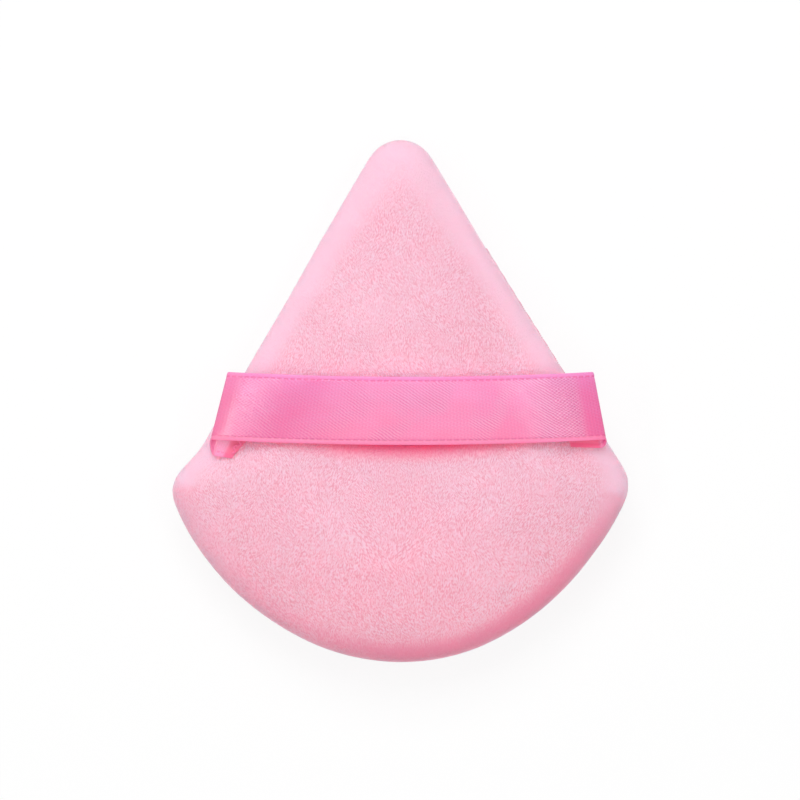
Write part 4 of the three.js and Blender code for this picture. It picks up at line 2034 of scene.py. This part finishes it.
    def tack_path(self, loop: Loop) -> np.ndarray:
        """Gives the zigzag of thread across a tail's sewn end.

        Args:
            loop: Which end.

        Returns:
            One row for each point, in millimetres.
        """
        length = self.width - 2 * self.tack_side_margin
        stitches = round(length / self.tack_pitch)
        rows = []
        for share in np.linspace(-0.5, 0.5, self.points_per_stitch * stitches + 1):
            swing = self.tack_swing * math.sin(2 * math.pi * (share + 0.5) * stitches)
            back = (self.tack_end_margin - swing) / loop.tail_length
            point = self.tail_point(loop, 1 - back, share * length / self.half_w)
            rows.append(point + (0.0, 0.0, self.thickness / 2 + self.tack_r))
        return np.array(rows)


@dataclass(frozen=True)
class Softbox:
    """A soft lamp that faces the puff, with its place and sides in metres and power in watts."""

    name: str
    place: Triple
    sides: Pair
    power: float

    def hang(self) -> None:
        """Hangs the lamp in its place and turns it to the puff."""
        data = bpy.data.lights.new(self.name, "AREA")
        data.shape = "RECTANGLE"
        data.size, data.size_y = self.sides
        data.energy = self.power
        lamp = link_object(self.name, data)
        lamp.location = self.place
        lamp.rotation_euler = (-Vector(self.place)).to_track_quat("-Z", "Y").to_euler()


@dataclass
class Studio:
    """Camera straight above, soft light from the front and from the tip's side, white floor."""

    sizes: PadSizes
    camera_rise: float = 0.48
    field_width: float = 0.1229
    aim: Pair = (-0.00008, 0.00013)
    floor_reach: float = 3000.0
    floor_grey: float = 0.9
    floor_white: float = 0.86
    ambient: float = 0.35
    lamps: tuple[Softbox, ...] = (
        Softbox("key_softbox", (-0.08, 0.44, 0.69), (0.42, 0.42), 3.55),
        Softbox("top_softbox", (0.0, -0.16, 0.85), (0.42, 0.42), 1.1),
        Softbox("left_strip", (-0.45, 0.0, 0.77), (0.5, 0.15), 1.05),
        Softbox("right_strip", (0.32, 0.0, 0.8), (0.5, 0.1), 0.95),
    )

    def build(self) -> None:
        """Makes the camera, the floor, the world and the lamps."""
        self.camera()
        self.floor()
        self.world()
        for lamp in self.lamps:
            lamp.hang()
        bpy.context.scene.view_settings.view_transform = "Standard"

    def camera(self) -> None:
        """Puts the camera over the puff so that the seam plane fills the frame as photographed."""
        data = bpy.data.cameras.new("camera")
        data.sensor_fit = "AUTO"
        data.angle = 2 * math.atan(self.field_width / 2 / self.camera_rise)
        camera = link_object("camera", data)
        camera.location = (*self.aim, self.camera_rise + self.sizes.seam_z * MM)
        bpy.context.scene.camera = camera

    @staticmethod
    def seen(tree: bpy.types.NodeTree) -> Socket:
        """Adds nodes that are 1 for rays which show the background.

        Args:
            tree: Node tree to add to.

        Returns:
            The output.
        """
        path = tree.nodes.new("ShaderNodeLightPath")
        total = path.outputs["Is Camera Ray"]
        for name in ("Is Glossy Ray", "Is Transmission Ray"):
            larger = tree.nodes.new("ShaderNodeMath")
            larger.operation = "MAXIMUM"
            tree.links.new(total, larger.inputs[0])
            tree.links.new(path.outputs[name], larger.inputs[1])
            total = larger.outputs[0]
        return total

    def floor(self) -> None:
        """Lays a wide floor that shows white and keeps a faint shadow."""
        bm = bmesh.new()
        bmesh.ops.create_grid(bm, x_segments=1, y_segments=1, size=self.floor_reach)
        floor = object_from_bmesh("studio_floor", bm)
        material = bpy.data.materials.new("studio_floor")
        material.use_nodes = True
        tree = material.node_tree
        tree.nodes.clear()
        matt = tree.nodes.new("ShaderNodeBsdfDiffuse")
        matt.inputs["Color"].default_value = (*(self.floor_grey,) * 3, 1.0)
        white = tree.nodes.new("ShaderNodeEmission")
        mix = tree.nodes.new("ShaderNodeMixShader")
        share = tree.nodes.new("ShaderNodeMath")
        share.operation = "MULTIPLY"
        share.inputs[1].default_value = self.floor_white
        output = tree.nodes.new("ShaderNodeOutputMaterial")
        tree.links.new(self.seen(tree), share.inputs[0])
        tree.links.new(share.outputs[0], mix.inputs["Fac"])
        tree.links.new(matt.outputs[0], mix.inputs[1])
        tree.links.new(white.outputs[0], mix.inputs[2])
        tree.links.new(mix.outputs[0], output.inputs["Surface"])
        floor.data.materials.append(material)

    def world(self) -> None:
        """Lights the scene evenly from all round, and shows white where the floor ends."""
        world = bpy.data.worlds.new("studio")
        world.use_nodes = True
        tree = world.node_tree
        background = tree.nodes["Background"]
        background.inputs["Color"].default_value = (1.0, 1.0, 1.0, 1.0)
        level = tree.nodes.new("ShaderNodeMapRange")
        level.inputs["To Min"].default_value = self.ambient
        level.inputs["To Max"].default_value = 1.0
        tree.links.new(self.seen(tree), level.inputs["Value"])
        tree.links.new(level.outputs[0], background.inputs["Strength"])
        bpy.context.scene.world = world


def report(piece: bpy.types.Object) -> None:
    """Logs one finished piece."""
    LOG.info("%s: %d faces", piece.name, len(piece.data.polygons))


def main() -> None:
    """Builds every sub-assembly in order."""
    logging.basicConfig(level=logging.INFO, format="%(name)s %(message)s")
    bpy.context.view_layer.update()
    outline, sizes = FanOutline(), PadSizes()
    velour, satin, thread = VelourFinish(), SatinFinish(), ThreadFinish()
    ribbon = FingerRibbon(outline, sizes, satin)
    roots = [ribbon.root_line(ribbon.left), ribbon.root_line(ribbon.right)]
    front = VelourCover(Face.FRONT, outline, sizes, velour, roots, ribbon.ribbon_shadow_share)
    back = VelourCover(Face.BACK, outline, sizes, velour)
    report(front.build("front_velour", "front_cover", Slot.VELOUR_FRONT))
    report(back.build("back_velour", "back_cover", Slot.VELOUR_BACK))
    report(FoamPad(outline, sizes, FoamFinish()).build("foam_pad"))
    for piece in RimSeam(outline, sizes, thread).build() + ribbon.build():
        report(piece)
    Studio(sizes).build()


if __name__ == "__main__":
    main()
